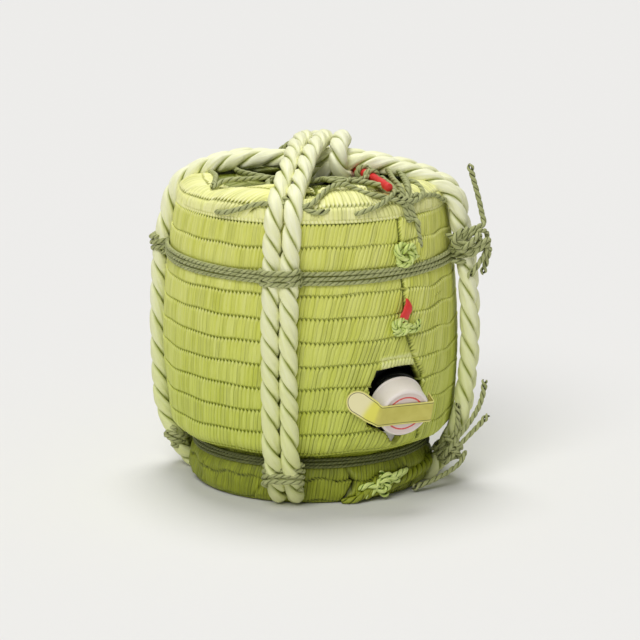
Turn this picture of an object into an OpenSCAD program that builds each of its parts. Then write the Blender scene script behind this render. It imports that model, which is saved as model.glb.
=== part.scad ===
// Sake barrel in a woven rush wrap, tied with straw rope and twine.
// A black glazed jar with a spout low on its side stands inside a rush mat. The mat is laced shut on top,
// folded under the jar and tied along its seam. Two doubled ropes cross over the top and under the base,
// and two bands of twine run round the barrel and are hitched round the ropes. The cap pulls off the spout.
// The origin is the middle of the base, on the floor. -Y is the spout's side, and +Z is up.

/* [Mat] */
// Largest radius of the wrapped mat, at its belly
belly_r = 88.5; // [86:0.5:91]
// Height of the belly above the floor
belly_z = 88; // [84:1:92]
// Height of the stitched line where the side turns over the shoulder
rim_z = 169; // [167:1:171]
// Thickness of the woven mat
mat_t = 6.5; // [5:0.5:7]
// Radius of the foot of the mat, below the lower band
foot_r = 73; // [71:0.5:74]

/* [Jar] */
// Thickness of the jar's wall
wall_t = 6; // [4:0.5:7]
// Height of the jar's floor inside, which is raised above a hollow foot
floor_z = 44; // [42:1:48]

/* [Spout] */
// Radius of the bore that the sake runs through and a pouring tap fits
bore_r = 10; // [8:0.5:10]
// Height of the spout's axis where it crosses the mat
spout_z = 62; // [61:0.5:63]
// How far the spout points below the horizontal, in degrees
spout_tilt = 19; // [16:1:20]
// How far the spout is turned towards -X, in degrees
spout_turn = 12; // [8:1:13]
// Radius of the cap's rim
cap_r = 16.4; // [16.2:0.1:16.8]

/* [Rope and twine] */
// Diameter of the straw rope
rope_d = 10; // [9:0.5:10]
// Diameter of the straw twine
twine_d = 3; // [2.6:0.1:3]
// Height of the middle of the upper band of twine
upper_band_z = 140; // [136:1:146]
// Height of the middle of the lower band of twine
lower_band_z = 23; // [22:1:25]
// Turns of twine in each band
band_turns = 3; // [2:1:3]

/* [Hidden] */

gap = 0.4;                                  // air between the jar and the mat
belly_arc = 437;                            // radius of the side's long curve
belly_c = belly_r - belly_arc;              // where that curve is centred, beyond the axis
rim_a = asin((rim_z - belly_z) / belly_arc);
hem_z = 40;                                 // where the side starts to round in above the lower band
hem_a = -asin((belly_z - hem_z) / belly_arc);
shoulder_r = 14;                            // roundness of the shoulder
hem_r = 9;                                  // roundness of the side's lower edge
shoulder_c = [belly_c, belly_z] + (belly_arc - shoulder_r) * [cos(rim_a), sin(rim_a)];
hem_c = [belly_c, belly_z] + (belly_arc - hem_r) * [cos(hem_a), sin(hem_a)];
groove_r = foot_r - 3;                      // the twine draws the mat in to here
top_z = 184.5;                              // crest of the folded mat
top_a = 80;                                 // where the shoulder's curve ends, in degrees above level
top_hole_r = 34;                            // the folds leave the middle open
lap_t = 1.6;                                // step where the mat's outer end lies over its start
seam_a = 4.4;                               // turn from the spout to that step
jar_top_z = 175;
jar_foot_z = 11;
jar_foot_r = groove_r - mat_t - 0.5;
rope_r = rope_d / 2;
twine_r = twine_d / 2;
pair = rope_d + 0.6;                        // from the middle of one rope to the middle of its neighbour
lie = rope_r + 0.3;                         // from the mat's surface to the middle of a rope on it
bite = 2.5;                                 // how far the ropes press into the mat's shoulder
pitch = twine_d + 0.5;                      // from one turn of twine to the next
front_a = -45;                              // where the ropes run down, as turns from the spout
right_a = 45;
cross_z = 194;                              // middle of the lower ropes where they cross on top
over_z = cross_z + rope_d + 0.5;            // middle of the upper ropes there

// A point r from the axis, turned a degrees from the spout towards +X, at height z
function around(r, a, z) = [r * sin(a), -r * cos(a), z];
function arc(c, r, a0, a1, n) = [for (i = [0:n]) let (a = a0 + (a1 - a0) * i / n) c + r * [cos(a), sin(a)]];
function unit(v) = v / norm(v);
function backwards(p) = [for (i = [len(p) - 1:-1:0]) p[i]];

// Half the section of the side, from the lower edge up over the shoulder, drawn in by inset
function side_line(inset) = [
    each arc(hem_c, hem_r - inset, -80, hem_a, 4),
    each arc([belly_c, belly_z], belly_arc - inset, hem_a, rim_a, 8),
    each arc(shoulder_c, shoulder_r - inset, rim_a, top_a, 5)
];

// Radius of the mat's outside at height z, along the side
function mat_r(z) = belly_c + sqrt(pow(belly_arc, 2) - pow(z - belly_z, 2));

// A round tube along a path. Its rings are square to the path, and ref is a direction the path never takes.
function tube_ring(p, i, r, sides, ref) =
    let (
        t = unit(p[min(i + 1, len(p) - 1)] - p[max(i - 1, 0)]),
        a = unit(ref - (ref * t) * t),
        b = cross(t, a)
    )
    [for (k = [0:sides - 1]) p[i] + r * (cos(360 * k / sides) * a + sin(360 * k / sides) * b)];
function tube_faces(n, sides) = [
    for (i = [0:n - 2], k = [0:sides - 1])
        let (a = i * sides + k, b = i * sides + (k + 1) % sides)
        each [[a, b + sides, b], [a, a + sides, b + sides]],
    for (k = [1:sides - 2])
        let (last = (n - 1) * sides)
        each [[0, k, k + 1], [last, last + k + 1, last + k]]
];
module tube(p, r, sides, ref) {
    polyhedron(
        points = [for (i = [0:len(p) - 1]) each tube_ring(p, i, r, sides, ref)],
        faces = tube_faces(len(p), sides)
    );
}

// The least distance between a tube's own stretches that are at least skip points apart, less its thickness
function least_gap(p, skip, d) =
    min([for (i = [0:len(p) - 1], j = [0:len(p) - 1]) if (j >= i + skip) norm(p[i] - p[j])]) - d;

// Spout: its axis runs through the mat at spout_z, and z along it points outwards
module on_spout() {
    translate([spout_x, -mat_r(spout_z), spout_z]) rotate([90 + spout_tilt, 0, -spout_turn]) children();
}
spout_x = 1.5;                              // the spout stands a little right of the front
neck_in = -20;                              // inner end of the spout, measured from the mat's surface
flange_z = -7.5;                            // back of the spout's flange, on the jar's boss
flange_r = 16.2;
mouth_z = 8.6;                              // the mouth of the spout
cap_base_z = -2.2;
cap_top_z = 12.6;
cap_t = 2.2;
neck_r = bore_r + 3.4;

module jar() {
    outer = concat(
        [[jar_foot_r - wall_t, jar_foot_z], [jar_foot_r, jar_foot_z], [jar_foot_r, hem_c.y - 10]],
        side_line(mat_t + gap),
        [[shoulder_c.x - 4, jar_top_z], [0, jar_top_z]]
    );
    under = [[0, floor_z - wall_t - 2], [jar_foot_r - wall_t, floor_z - wall_t - 2]];
    inner = [
        [0, floor_z], [shoulder_c.x, floor_z],
        each arc([belly_c, belly_z], belly_arc - mat_t - gap - wall_t, hem_a * 0.9, rim_a, 8),
        [shoulder_c.x, jar_top_z - wall_t], [0, jar_top_z - wall_t]
    ];
    boss_in = -16;                          // the boss under the flange starts inside the wall
    cut_l = 60;                             // long enough to cut right through
    color("#101312") difference() {
        union() {
            rotate_extrude($fn = 120) polygon(concat(under, outer));
            on_spout() translate([0, 0, boss_in]) cylinder(r = flange_r, h = flange_z + 3 - boss_in, $fn = 64);
        }
        rotate_extrude($fn = 120) polygon(inner);
        on_spout() translate([0, 0, flange_z]) cylinder(r = flange_r + 0.2, h = cut_l, $fn = 64);
        on_spout() translate([0, 0, -cut_l / 2]) cylinder(r = neck_r + 1.05, h = cut_l, $fn = 64);
    }
}

module spout() {
    profile = [
        [bore_r, neck_in], [neck_r + 1, neck_in], [neck_r + 1, flange_z], [flange_r, flange_z],
        [flange_r, flange_z + 2], [neck_r + 1.6, flange_z + 2.4], [neck_r, cap_base_z + 0.6],
        [neck_r, mouth_z - 0.8], [neck_r - 0.8, mouth_z], [bore_r, mouth_z]
    ];
    color("#15181a") on_spout() rotate_extrude($fn = 96) polygon(profile);
}

module cap() {
    inside_r = neck_r + 0.6;
    profile = [
        [inside_r, cap_base_z], [cap_r, cap_base_z],
        [cap_r, cap_base_z + 1.4], [cap_r - 0.6, cap_base_z + 1.8],
        [cap_r - 1, cap_top_z - 1.5], [cap_r - 1.5, cap_top_z - 0.5], [cap_r - 2.5, cap_top_z],
        [0, cap_top_z], [0, cap_top_z - cap_t], [inside_r, cap_top_z - cap_t]
    ];
    color("#e9ddd6") on_spout() rotate_extrude($fn = 96) polygon(profile);
}

module cap_liner() {
    color("#f4f2ec") on_spout() translate([0, 0, mouth_z + 0.1])
        cylinder(r = neck_r + 0.3, h = cap_top_z - cap_t - mouth_z - 0.1, $fn = 96);
}

// Paper seal: a band over the cap's face, turned back at the right, with a round pull tab on the left
strip_w = 14;
strip_t = 0.4;
tab_d = 14.8;
tab_l = 11;                                 // from the fold at the left to the middle of the tab's round end
tab_turn = 28;                              // how far the tab is turned up, in degrees
tab_slope = 0.66;                           // how steeply it falls back towards the mat
fold_l = 9.5;                               // length turned back at the right
module seal_strip() {
    low = cap_top_z + 0.1;
    left_x = 0.4 - cap_r;
    right_x = cap_r + 0.6;
    end_x = left_x - tab_l - tab_d;
    end_z = low - (tab_l + tab_d) * tab_slope;
    from_the_side = [
        [end_x, end_z], [left_x, low], [right_x - strip_t, low], [right_x, low - fold_l],
        [right_x + strip_t, low - fold_l], [right_x, low + strip_t], [left_x, low + strip_t], [end_x, end_z + strip_t]
    ];
    color("#d9d36a") on_spout() intersection() {
        translate([0, tab_d, 0]) rotate([90, 0, 0]) linear_extrude(2 * tab_d) polygon(from_the_side);
        linear_extrude(low + 1) {
            translate([left_x - 0.5, -strip_w / 2]) square([right_x - left_x + 2, strip_w]);
            translate([left_x, 0]) rotate(-tab_turn) {
                translate([-tab_l, -strip_w / 2]) square([tab_l, strip_w]);
                translate([-tab_l, 0]) circle(d = tab_d, $fn = 48);
            }
        }
    }
}

// The woven wrap: side, shoulder, folds on top, foot and the fold under the jar, as one piece
spout_gap = [[-18.5, 50], [-18, 72], [-13, 83.5], [14, 82.5], [20, 72], [20, 50], [6, 42], [1, 34], [-6, 44]];
module mat() {
    outer = concat(
        [each arc([foot_r - 5, 5], 5, -90, 0, 4), [foot_r, lower_band_z - 5], [groove_r, lower_band_z - 2],
         [groove_r, lower_band_z + 3]],
        side_line(0),
        [[top_hole_r + 8, top_z], [top_hole_r, top_z - 2]]
    );
    inner = concat(
        [[top_hole_r, jar_top_z + gap], [shoulder_c.x - 4, jar_top_z + gap]],
        backwards(side_line(mat_t)),
        [[jar_foot_r + gap, hem_c.y - 10 - gap], [jar_foot_r + gap, jar_foot_z - gap],
         [36, jar_foot_z - gap], [36, 0]]
    );
    lap_a = asin((spout_gap[2].y + 2 - belly_z) / belly_arc);
    lap = concat(
        arc([belly_c, belly_z], belly_arc - 1, lap_a, rim_a, 6),
        arc([belly_c, belly_z], belly_arc + lap_t, rim_a, lap_a, 6)
    );
    color("#a9b13c") difference() {
        union() {
            rotate_extrude($fn = 120) polygon(concat(outer, inner));
            rotate([0, 0, seam_a - 90]) rotate_extrude(angle = 12, $fn = 120) polygon(lap);
        }
        translate([0, -60, 0]) rotate([90, 0, 0]) linear_extrude(60) polygon(spout_gap);
        for (a = [front_a, right_a]) rotate([0, 0, a])
            translate([-pair - 0.4, -foot_r - 20, -1]) cube([2 * pair + 0.8, 2 * foot_r + 40, rope_d + 2]);
    }
}

// White paper behind the split in the mat below the cap
module lining_paper() {
    paper_r = mat_r(hem_z) - mat_t + 2;
    paper_h = 10;
    paper_top_z = 44;
    color("#dcdad6") rotate([0, 0, -94]) rotate_extrude(angle = 10, $fn = 120)
        translate([paper_r, paper_top_z - paper_h]) square([0.5, paper_h]);
}

// Route of a rope down one side, as [distance from the axis, height] of its middle, from the top to the base
function rope_side(start_z) = [
    [36, start_z - (start_z - cross_z) * 0.4 - 1], [60, 188.2],
    each arc(shoulder_c, shoulder_r + lie - bite, 62, 14, 3),
    [mat_r(140) + lie, 140], [mat_r(112) + lie, 112], [belly_r + lie, belly_z], [mat_r(62) + lie, 62],
    hem_c + (hem_r + lie) * [cos(-10), sin(-10)], [foot_r + 12.5, 25], [foot_r + 7.5, 14], [foot_r + 0.5, 5.9]
];
function opposite(p) = [for (q = backwards(p)) [-q.x, q.y]];
// One turn round the barrel: from the top down the side ahead, under the base and up the side behind
function rope_turn(start_z, base_z) = concat(
    rope_side(start_z),
    [[40, rope_r + 0.4], [15, base_z], [-15, base_z], [-40, rope_r + 0.4]],
    opposite(rope_side(start_z))
);
function lane(line, y) = [for (q = line) [q.x, y, q.y]];

// Both turns of each doubled rope as one tube: x runs ahead, y sideways and z up, and the ends are tucked in
front_back_turn = rope_turn(over_z, rope_r + 0.4);
front_back_path = concat(
    [[-21, -pair / 2, 186], [-19, -pair / 2, 195], [-12, -pair / 2, over_z - 1.5], [2, -pair / 2, over_z]],
    lane(front_back_turn, -pair / 2),
    [[-30, 1.5, 200.6], [-18, pair / 2 + 0.2, 203.4], [2, pair / 2, over_z]],
    lane([for (i = [0:len(front_back_turn) - 2]) front_back_turn[i]], pair / 2),
    [[-45, 9.6, 194.6], [-30, 13.4, 199.6], [-14, 16.4, over_z - 0.6], [0, 17.6, over_z + 0.8],
     [12.6, 18.6, over_z - 3], [17.4, 19.8, 194], [12, 21.4, 185], [0, 23, 182.4]]
);
side_turn = rope_turn(cross_z, rope_r + rope_d + 1);
side_path = concat(
    [[-11, -2, 181.2], [5, -4, 183.2], [20, -pair / 2, 191.4]],
    lane(side_turn, -pair / 2),
    [[-20, -pair / 2, cross_z], [0, 0, cross_z + 0.2], [20, pair / 2, cross_z]],
    lane(side_turn, pair / 2),
    [[-20, pair / 2, 190.4], [-9, 11, 184]]
);
module rope_front_back() {
    echo(front_back_gap = least_gap(front_back_path, 4, rope_d));
    color("#dfe0a6") rotate([0, 0, front_a - 90]) tube(front_back_path, rope_r, 10, [0, 1, 0]);
}
module rope_side_to_side() {
    echo(side_gap = least_gap(side_path, 4, rope_d));
    color("#dfe0a6") rotate([0, 0, right_a - 90]) tube(side_path, rope_r, 10, [0, 1, 0]);
}

// A band of twine is one spiral with its turns one above the other, lowest where dip_a says
band_steps = 24;
function band_path(r, z, dip, dip_a) = [
    for (i = [0:band_turns * band_steps])
        let (a = right_a + 360 * i / band_steps)
        around(r, a, z + pitch * (i / band_steps - band_turns / 2) - dip * cos(a - dip_a))
];
upper_path = band_path(mat_r(upper_band_z) + twine_r - 0.3, upper_band_z, 2.5, -20);
lower_path = band_path(groove_r + twine_r - 0.3, lower_band_z, 0, 0);
module upper_band() {
    echo(upper_band_gap = least_gap(upper_path, 5, twine_d));
    color("#7f8350") tube(upper_path, twine_r, 6, [0, 0, 1]);
}
module lower_band() {
    echo(lower_band_gap = least_gap(lower_path, 5, twine_d));
    color("#6a6f3c") tube(lower_path, twine_r, 6, [0, 0, 1]);
}

// A hitch is one spiral round both ropes of a pair
hitch_steps = 16;
function hitch_path(turns) = [
    for (i = [0:turns * hitch_steps])
        let (t = 360 * i / hitch_steps, r = rope_r + twine_r - 0.3)
        [r * cos(t) + sign(cos(t)) * pair / 2, r * sin(t), pitch * (i / hitch_steps - turns / 2)]
];
// Sets children on the middle of a rope pair, a degrees round, r out and z up, leaning in by lean degrees
module on_pair(a, r, z, lean) {
    rotate([0, 0, a]) translate([0, -r, z]) rotate([lean, 0, 0]) children();
}
upper_hitch_z = upper_band_z;
lower_hitch = [foot_r + 10.3, 20];
lower_lean = -24;
module hitch(turns) {
    echo(hitch_gap = least_gap(hitch_path(turns), 8, twine_d));
    color("#858a52") tube(hitch_path(turns), twine_r, 6, [0, 0, 1]);
}
module upper_hitch(a) {
    on_pair(a, mat_r(upper_hitch_z) + lie, upper_hitch_z, 7) hitch(3);
}
module lower_hitch_at(a) {
    on_pair(a, lower_hitch.x, lower_hitch.y, lower_lean) hitch(3);
}
module upper_hitch_front() { upper_hitch(front_a); }
module upper_hitch_right() { upper_hitch(right_a); }
module upper_hitch_back() { upper_hitch(front_a + 180); }
module upper_hitch_left() { upper_hitch(right_a + 180); }
module lower_hitch_front() { lower_hitch_at(front_a); }
module lower_hitch_right() { lower_hitch_at(right_a); }
module lower_hitch_back() { lower_hitch_at(front_a + 180); }
module lower_hitch_left() { lower_hitch_at(right_a + 180); }

// A knot is two or three loops of twine with its tails. Points are [across, out from the axis, up].
knot_loop_r = 4.4;
function loops(at, r, n) = [
    for (i = [0:n * 12])
        let (t = 90 - 30 * i)
        [at.x - pitch * i / 12, at.y + r * cos(t), at.z + r * sin(t)]
];
module knot(p) {
    echo(knot_gap = least_gap(p, 7, twine_d));
    color("#7f8350") rotate([0, 0, right_a]) tube([for (q = p) [q.x, -q.y, q.z]], twine_r, 6, [1, 0, 0]);
}
upper_knot_path = concat(
    [[3, 94, 194], [3.4, 99, 182], [3.4, 103, 171], [3.6, 105, 160]],
    loops([3.5, 101, 151], knot_loop_r, 2),
    [[-4.4, 105.4, 152], [-5, 105, 142], [-5.4, 101.6, 128]]
);
lower_knot_path = concat(
    [[3, 107, 62], [3, 104, 48], [3, 100, 34]],
    loops([3.5, 95.4, 21], knot_loop_r, 2),
    [[-5.4, 99, 18], [-12, 95, 12], [-21, 85, 7], [-30, 72, 3.4]]
);
module upper_knot() { knot(upper_knot_path); }
module lower_knot() { knot(lower_knot_path); }

// Lacing over the folded top: points are [distance from the axis, turn from the spout, height]
lacing_routes = [
    [[68, 16, 184.6], [72, 32, 181.4], [64, 56, 183.6], [42, 84, 186.4], [34, 118, 187], [50, 160, 186],
     [70, 186, 181.6], [62, 216, 183.4], [60, 252, 184], [42, 270, 186.4], [25, 288, 187], [17, 347, 186.6],
     [41, 351, 186.6], [50, 363, 187.4]],
    [[64, 12, 184.4], [65, -1, 183.4], [48, -8, 186], [46, -19, 186], [63, -34, 183.6], [66, -54, 182.9],
     [76, -72, 178.6]],
    [[71, 5, 182.6], [76.5, -10, 178.4], [75.5, -34, 179.2], [70, -48, 181.4]]
];
module top_lacing() {
    color("#7f8350") for (route = lacing_routes)
        tube([for (q = route) around(q.x, q.y, q.z)], twine_r, 6, [0, 0, 1]);
}
// Three strands gathered over the rim. The middle one runs on down to the seam.
module lacing_bundle() {
    over_rim = arc(shoulder_c, shoulder_r + twine_r, 78, 20, 3);
    color("#7f8350") rotate([0, 0, 15]) for (i = [-1:1])
        tube([
            for (q = concat([[50, 188.6], [60, 184.9]], over_rim, i == 0 ? [[mat_r(160) + 1.5, 160]] : []))
                [i * pitch, -q.x, q.y]
        ], twine_r, 6, [1, 0, 0]);
}
// A red tube threaded on the lacing
module red_tube() {
    from = [2, -36, 192.4];
    to = [12, -60, 189.2];
    tilt = acos((to - from).z / norm(to - from));
    turn = atan2((to - from).y, (to - from).x);
    color("#eb3c37") translate(from) rotate([0, tilt, turn]) cylinder(d = 5, h = norm(to - from), $fn = 32);
}

// Ties that close the mat's seam, each two small loops of green cord
tie_d = 2.6;
module seam_tie(a, z) {
    path = [for (i = [0:24]) let (t = 15 + 30 * i) [5.2 * cos(t), -2.6 * sin(t), 1.2 * tie_d * (i / 12 - 1)]];
    color("#bcd67a") rotate([0, 0, a]) translate([0, -mat_r(z) - 3.4, z])
        tube(path, tie_d / 2, 6, [0, 0, 1]);
}
module seam_tie_upper() { seam_tie(seam_a - 1.5, 151.5); }
module seam_tie_middle() { seam_tie(seam_a - 2.5, 110); }
module seam_tie_lower() {
    route = [[foot_r + 3, 16, 15], [foot_r + 3.2, 9, 12.5], [foot_r + 3.2, 2, 9.5], [foot_r + 2.6, -6, 5.6]];
    color("#a9c05c") tube([for (q = route) around(q.x, q.y, q.z)], 3.4, 8, [0, 0, 1]);
}
// End of the red tape that shows in the seam above the middle tie
module seam_tape() {
    color("#eb3c37") rotate([0, 0, seam_a - 3]) translate([0, -mat_r(120) - 1.2, 119]) rotate([0, 32, 0])
        cube([4.5, 1.6, 12], center = true);
}

jar();
spout();
cap();
cap_liner();
seal_strip();
mat();
lining_paper();
rope_front_back();
rope_side_to_side();
upper_band();
lower_band();
upper_hitch_front();
upper_hitch_right();
upper_hitch_back();
upper_hitch_left();
lower_hitch_front();
lower_hitch_right();
lower_hitch_back();
lower_hitch_left();
upper_knot();
lower_knot();
top_lacing();
lacing_bundle();
red_tube();
seam_tie_upper();
seam_tie_middle();
seam_tie_lower();
seam_tape();
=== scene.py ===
# Sake barrel in a woven rush wrap, tied with straw rope and twine: its look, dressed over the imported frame
import math
import bpy
import numpy as np
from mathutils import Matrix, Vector


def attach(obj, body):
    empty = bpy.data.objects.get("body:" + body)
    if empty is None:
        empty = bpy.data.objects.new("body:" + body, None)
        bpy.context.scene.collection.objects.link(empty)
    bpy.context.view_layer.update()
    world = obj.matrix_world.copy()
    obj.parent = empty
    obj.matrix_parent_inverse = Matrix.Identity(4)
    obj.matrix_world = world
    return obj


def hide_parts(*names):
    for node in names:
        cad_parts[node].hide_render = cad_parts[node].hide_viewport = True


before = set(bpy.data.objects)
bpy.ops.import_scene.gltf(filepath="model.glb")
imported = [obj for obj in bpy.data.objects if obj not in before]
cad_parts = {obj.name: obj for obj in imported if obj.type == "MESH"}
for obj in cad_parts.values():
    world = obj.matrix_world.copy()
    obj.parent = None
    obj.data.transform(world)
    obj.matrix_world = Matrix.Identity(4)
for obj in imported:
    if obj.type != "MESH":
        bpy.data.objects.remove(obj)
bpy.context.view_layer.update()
rng = np.random.default_rng(7)
MM = 0.001

# Sizes of the wrapped barrel, in millimetres, as the part's source has them
BELLY_R, BELLY_Z, BELLY_ARC = 88.5, 88.0, 437.0
RIM_Z, HEM_Z = 169.0, 40.0
SHOULDER_R, HEM_R = 14.0, 9.0
FOOT_R, GROOVE_R = 73.0, 70.0
TOP_Z, TOP_HOLE_R = 184.5, 34.0
UPPER_BAND_Z, LOWER_BAND_Z = 140.0, 23.0
ROPE_D, TWINE_D = 10.0, 3.0
# Ropes of a pair lie PAIR apart and their middles LIE off the mat, sunk BITE into its shoulder
PAIR = ROPE_D + 0.6
LIE = ROPE_D / 2 + 0.3
BITE = 2.5
CROSS_Z, OVER_Z = 194.0, 204.5
FRONT, RIGHT = -45.0, 45.0
SPOUT_X, SPOUT_Z, SPOUT_TILT, SPOUT_TURN = 1.5, 62.0, 19.0, 12.0
CAP_R, CAP_BASE, CAP_TOP, CAP_WALL = 16.4, -2.2, 12.6, 2.2
TWINE_PITCH = TWINE_D + 0.5

BELLY_C = BELLY_R - BELLY_ARC
RIM_A = math.asin((RIM_Z - BELLY_Z) / BELLY_ARC)
HEM_A = -math.asin((BELLY_Z - HEM_Z) / BELLY_ARC)


def on_belly(radius, a):
    return np.array([BELLY_C + radius * math.cos(a), BELLY_Z + radius * math.sin(a)])


SHOULDER_C = on_belly(BELLY_ARC - SHOULDER_R, RIM_A)
HEM_C = on_belly(BELLY_ARC - HEM_R, HEM_A)


def arc(c, r, a0, a1, n):
    """n + 1 points on an arc from a0 to a1 degrees."""
    a = np.radians(np.linspace(a0, a1, n + 1))
    return [[c[0] + r * math.cos(t), c[1] + r * math.sin(t)] for t in a]


def unit(x):
    """x kept between 0 and 1."""
    return np.clip(x, 0, 1)


def hump(x, width):
    """1 where x is 0, falling to nothing within about twice the width."""
    return np.exp(-(x / width) ** 2)


def mat_r(z):
    """Radius of the mat's side at height z."""
    return BELLY_C + np.sqrt(BELLY_ARC ** 2 - (z - BELLY_Z) ** 2)


def around(r, a, z):
    """The point r from the axis, turned a degrees from the spout towards +X, at height z."""
    t = np.radians(a)
    return np.stack([r * np.sin(t), -r * np.cos(t), z + 0 * t], -1)


# Camera: the photograph's view, from the left of the spout and a little above. Degrees and metres
CAMERA_TURN, CAMERA_TILT, CAMERA_FAR = -34.0, 13.0, 1.72
AIM_Z, AIM_RIGHT = 0.0945, 0.0054
LENS_MM, SENSOR_MM = 160, 36


def new_object(name, data):
    thing = bpy.data.objects.new(name, data)
    bpy.context.scene.collection.objects.link(thing)
    return thing


def view_from(thing, turn, height):
    """Turns a camera or a lamp to look from a turn and height in degrees, and gives that direction."""
    a, e = math.radians(turn), math.radians(height)
    back = Vector((math.sin(a) * math.cos(e), -math.cos(a) * math.cos(e), math.sin(e)))
    thing.rotation_mode = "QUATERNION"
    thing.rotation_quaternion = (-back).to_track_quat("-Z", "Y")
    return back


def make_camera():
    data = bpy.data.cameras.new("camera")
    camera = new_object("camera", data)
    bpy.context.scene.camera = camera
    data.lens = LENS_MM
    data.sensor_width = SENSOR_MM
    a = math.radians(CAMERA_TURN)
    aim = Vector((math.cos(a), math.sin(a), 0)) * AIM_RIGHT + Vector((0, 0, AIM_Z))
    camera.location = aim + view_from(camera, CAMERA_TURN, CAMERA_TILT) * CAMERA_FAR


make_camera()

# Node tools


def math_node(tree, operation, a, b=None, clamp=False):
    node = tree.nodes.new("ShaderNodeMath")
    node.operation = operation
    node.use_clamp = clamp
    for socket, value in zip(node.inputs, (a, b)):
        if value is None:
            continue
        if isinstance(value, (int, float)):
            socket.default_value = value
        else:
            tree.links.new(value, socket)
    return node.outputs[0]


def mix_colour(tree, factor, a, b, blend="MIX"):
    node = tree.nodes.new("ShaderNodeMix")
    node.data_type = "RGBA"
    node.blend_type = blend
    for socket, value in ((node.inputs[0], factor), (node.inputs[6], a), (node.inputs[7], b)):
        if isinstance(value, (int, float)):
            socket.default_value = value
        elif isinstance(value, tuple):
            socket.default_value = (*value, 1.0)
        else:
            tree.links.new(value, socket)
    return node.outputs[2]


def ramp(tree, value, low, high):
    """0 where value is low, 1 where it is high."""
    node = tree.nodes.new("ShaderNodeMapRange")
    node.interpolation_type = "SMOOTHSTEP"
    node.inputs["From Min"].default_value = low
    node.inputs["From Max"].default_value = high
    tree.links.new(value, node.inputs["Value"])
    return node.outputs["Result"]


def noise(tree, vector, scale, detail=2.0, rough=0.5):
    node = tree.nodes.new("ShaderNodeTexNoise")
    node.inputs["Scale"].default_value = scale
    node.inputs["Detail"].default_value = detail
    node.inputs["Roughness"].default_value = rough
    tree.links.new(vector, node.inputs["Vector"])
    return node.outputs[0]


def scaled(tree, value, times, plus):
    return math_node(tree, "ADD", math_node(tree, "MULTIPLY", value, times), plus)


def srgb(r, g, b):
    """A colour seen as 0 to 255, as the light that it is."""
    return tuple((c / 255 / 12.92 if c < 10.3 else ((c / 255 + 0.055) / 1.055) ** 2.4) for c in (r, g, b))


def straw_group():
    """Streaks along the fibre, blotches and dark flecks. Grain is in mm, drawn in along the fibre."""
    tree = bpy.data.node_groups.new("straw", "ShaderNodeTree")
    face = tree.interface
    face.new_socket(name="Grain", in_out="INPUT", socket_type="NodeSocketVector")
    for name in ("Fibres", "Flecks"):
        face.new_socket(name=name, in_out="INPUT", socket_type="NodeSocketFloat")
    for name in ("Streak", "Blotch", "Fleck", "Height"):
        face.new_socket(name=name, in_out="OUTPUT", socket_type="NodeSocketFloat")
    into = tree.nodes.new("NodeGroupInput")
    out = tree.nodes.new("NodeGroupOutput")
    grain, fibres, flecks = into.outputs[0], into.outputs[1], into.outputs[2]
    spread = tree.nodes.new("ShaderNodeVectorMath")
    spread.operation = "SCALE"
    tree.links.new(grain, spread.inputs[0])
    tree.links.new(fibres, spread.inputs["Scale"])
    fine = noise(tree, spread.outputs[0], 2.6, 2.0, 0.6)
    broad = noise(tree, spread.outputs[0], 0.8, 1.0, 0.5)
    streak = scaled(tree, fine, 0.55, math_node(tree, "MULTIPLY", broad, 0.45))
    blotch = noise(tree, grain, 0.09, 3.0, 0.55)
    spots = noise(tree, spread.outputs[0], 1.7, 1.0, 0.5)
    fleck = ramp(tree, math_node(tree, "ADD", spots, flecks), 0.74, 0.82)
    tree.links.new(ramp(tree, streak, 0.34, 0.66), out.inputs["Streak"])
    tree.links.new(ramp(tree, blotch, 0.3, 0.7), out.inputs["Blotch"])
    tree.links.new(fleck, out.inputs["Fleck"])
    tree.links.new(streak, out.inputs["Height"])
    return tree


STRAW = straw_group()


def new_material(name):
    material = bpy.data.materials.new(name)
    material.use_nodes = True
    tree = material.node_tree
    return material, tree, tree.nodes["Principled BSDF"]


def attribute(tree, name):
    node = tree.nodes.new("ShaderNodeAttribute")
    node.attribute_name = name
    return node


def surface(tree, shader, colour, roughness, height, depth_mm):
    """Feeds a material's colour, roughness and relief to its shader."""
    node = tree.nodes.new("ShaderNodeBump")
    node.inputs["Distance"].default_value = depth_mm * MM
    node.inputs["Strength"].default_value = 1.0
    tree.links.new(height, node.inputs["Height"])
    tree.links.new(colour, shader.inputs["Base Color"])
    tree.links.new(roughness, shader.inputs["Roughness"])
    tree.links.new(node.outputs[0], shader.inputs["Normal"])


def drift_and_grain(tree, broad, fine, detail=2.0):
    """A slow drift from 0 to 1 and a fine grain, in the object's own space."""
    place = tree.nodes.new("ShaderNodeTexCoord").outputs["Object"]
    return ramp(tree, noise(tree, place, broad, 3.0), 0.3, 0.7), noise(tree, place, fine, detail)


# Heights in metres where the painted shade towards the foot begins and is full
FOOT_SHADE_Z = 0.17, 0.03


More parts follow.
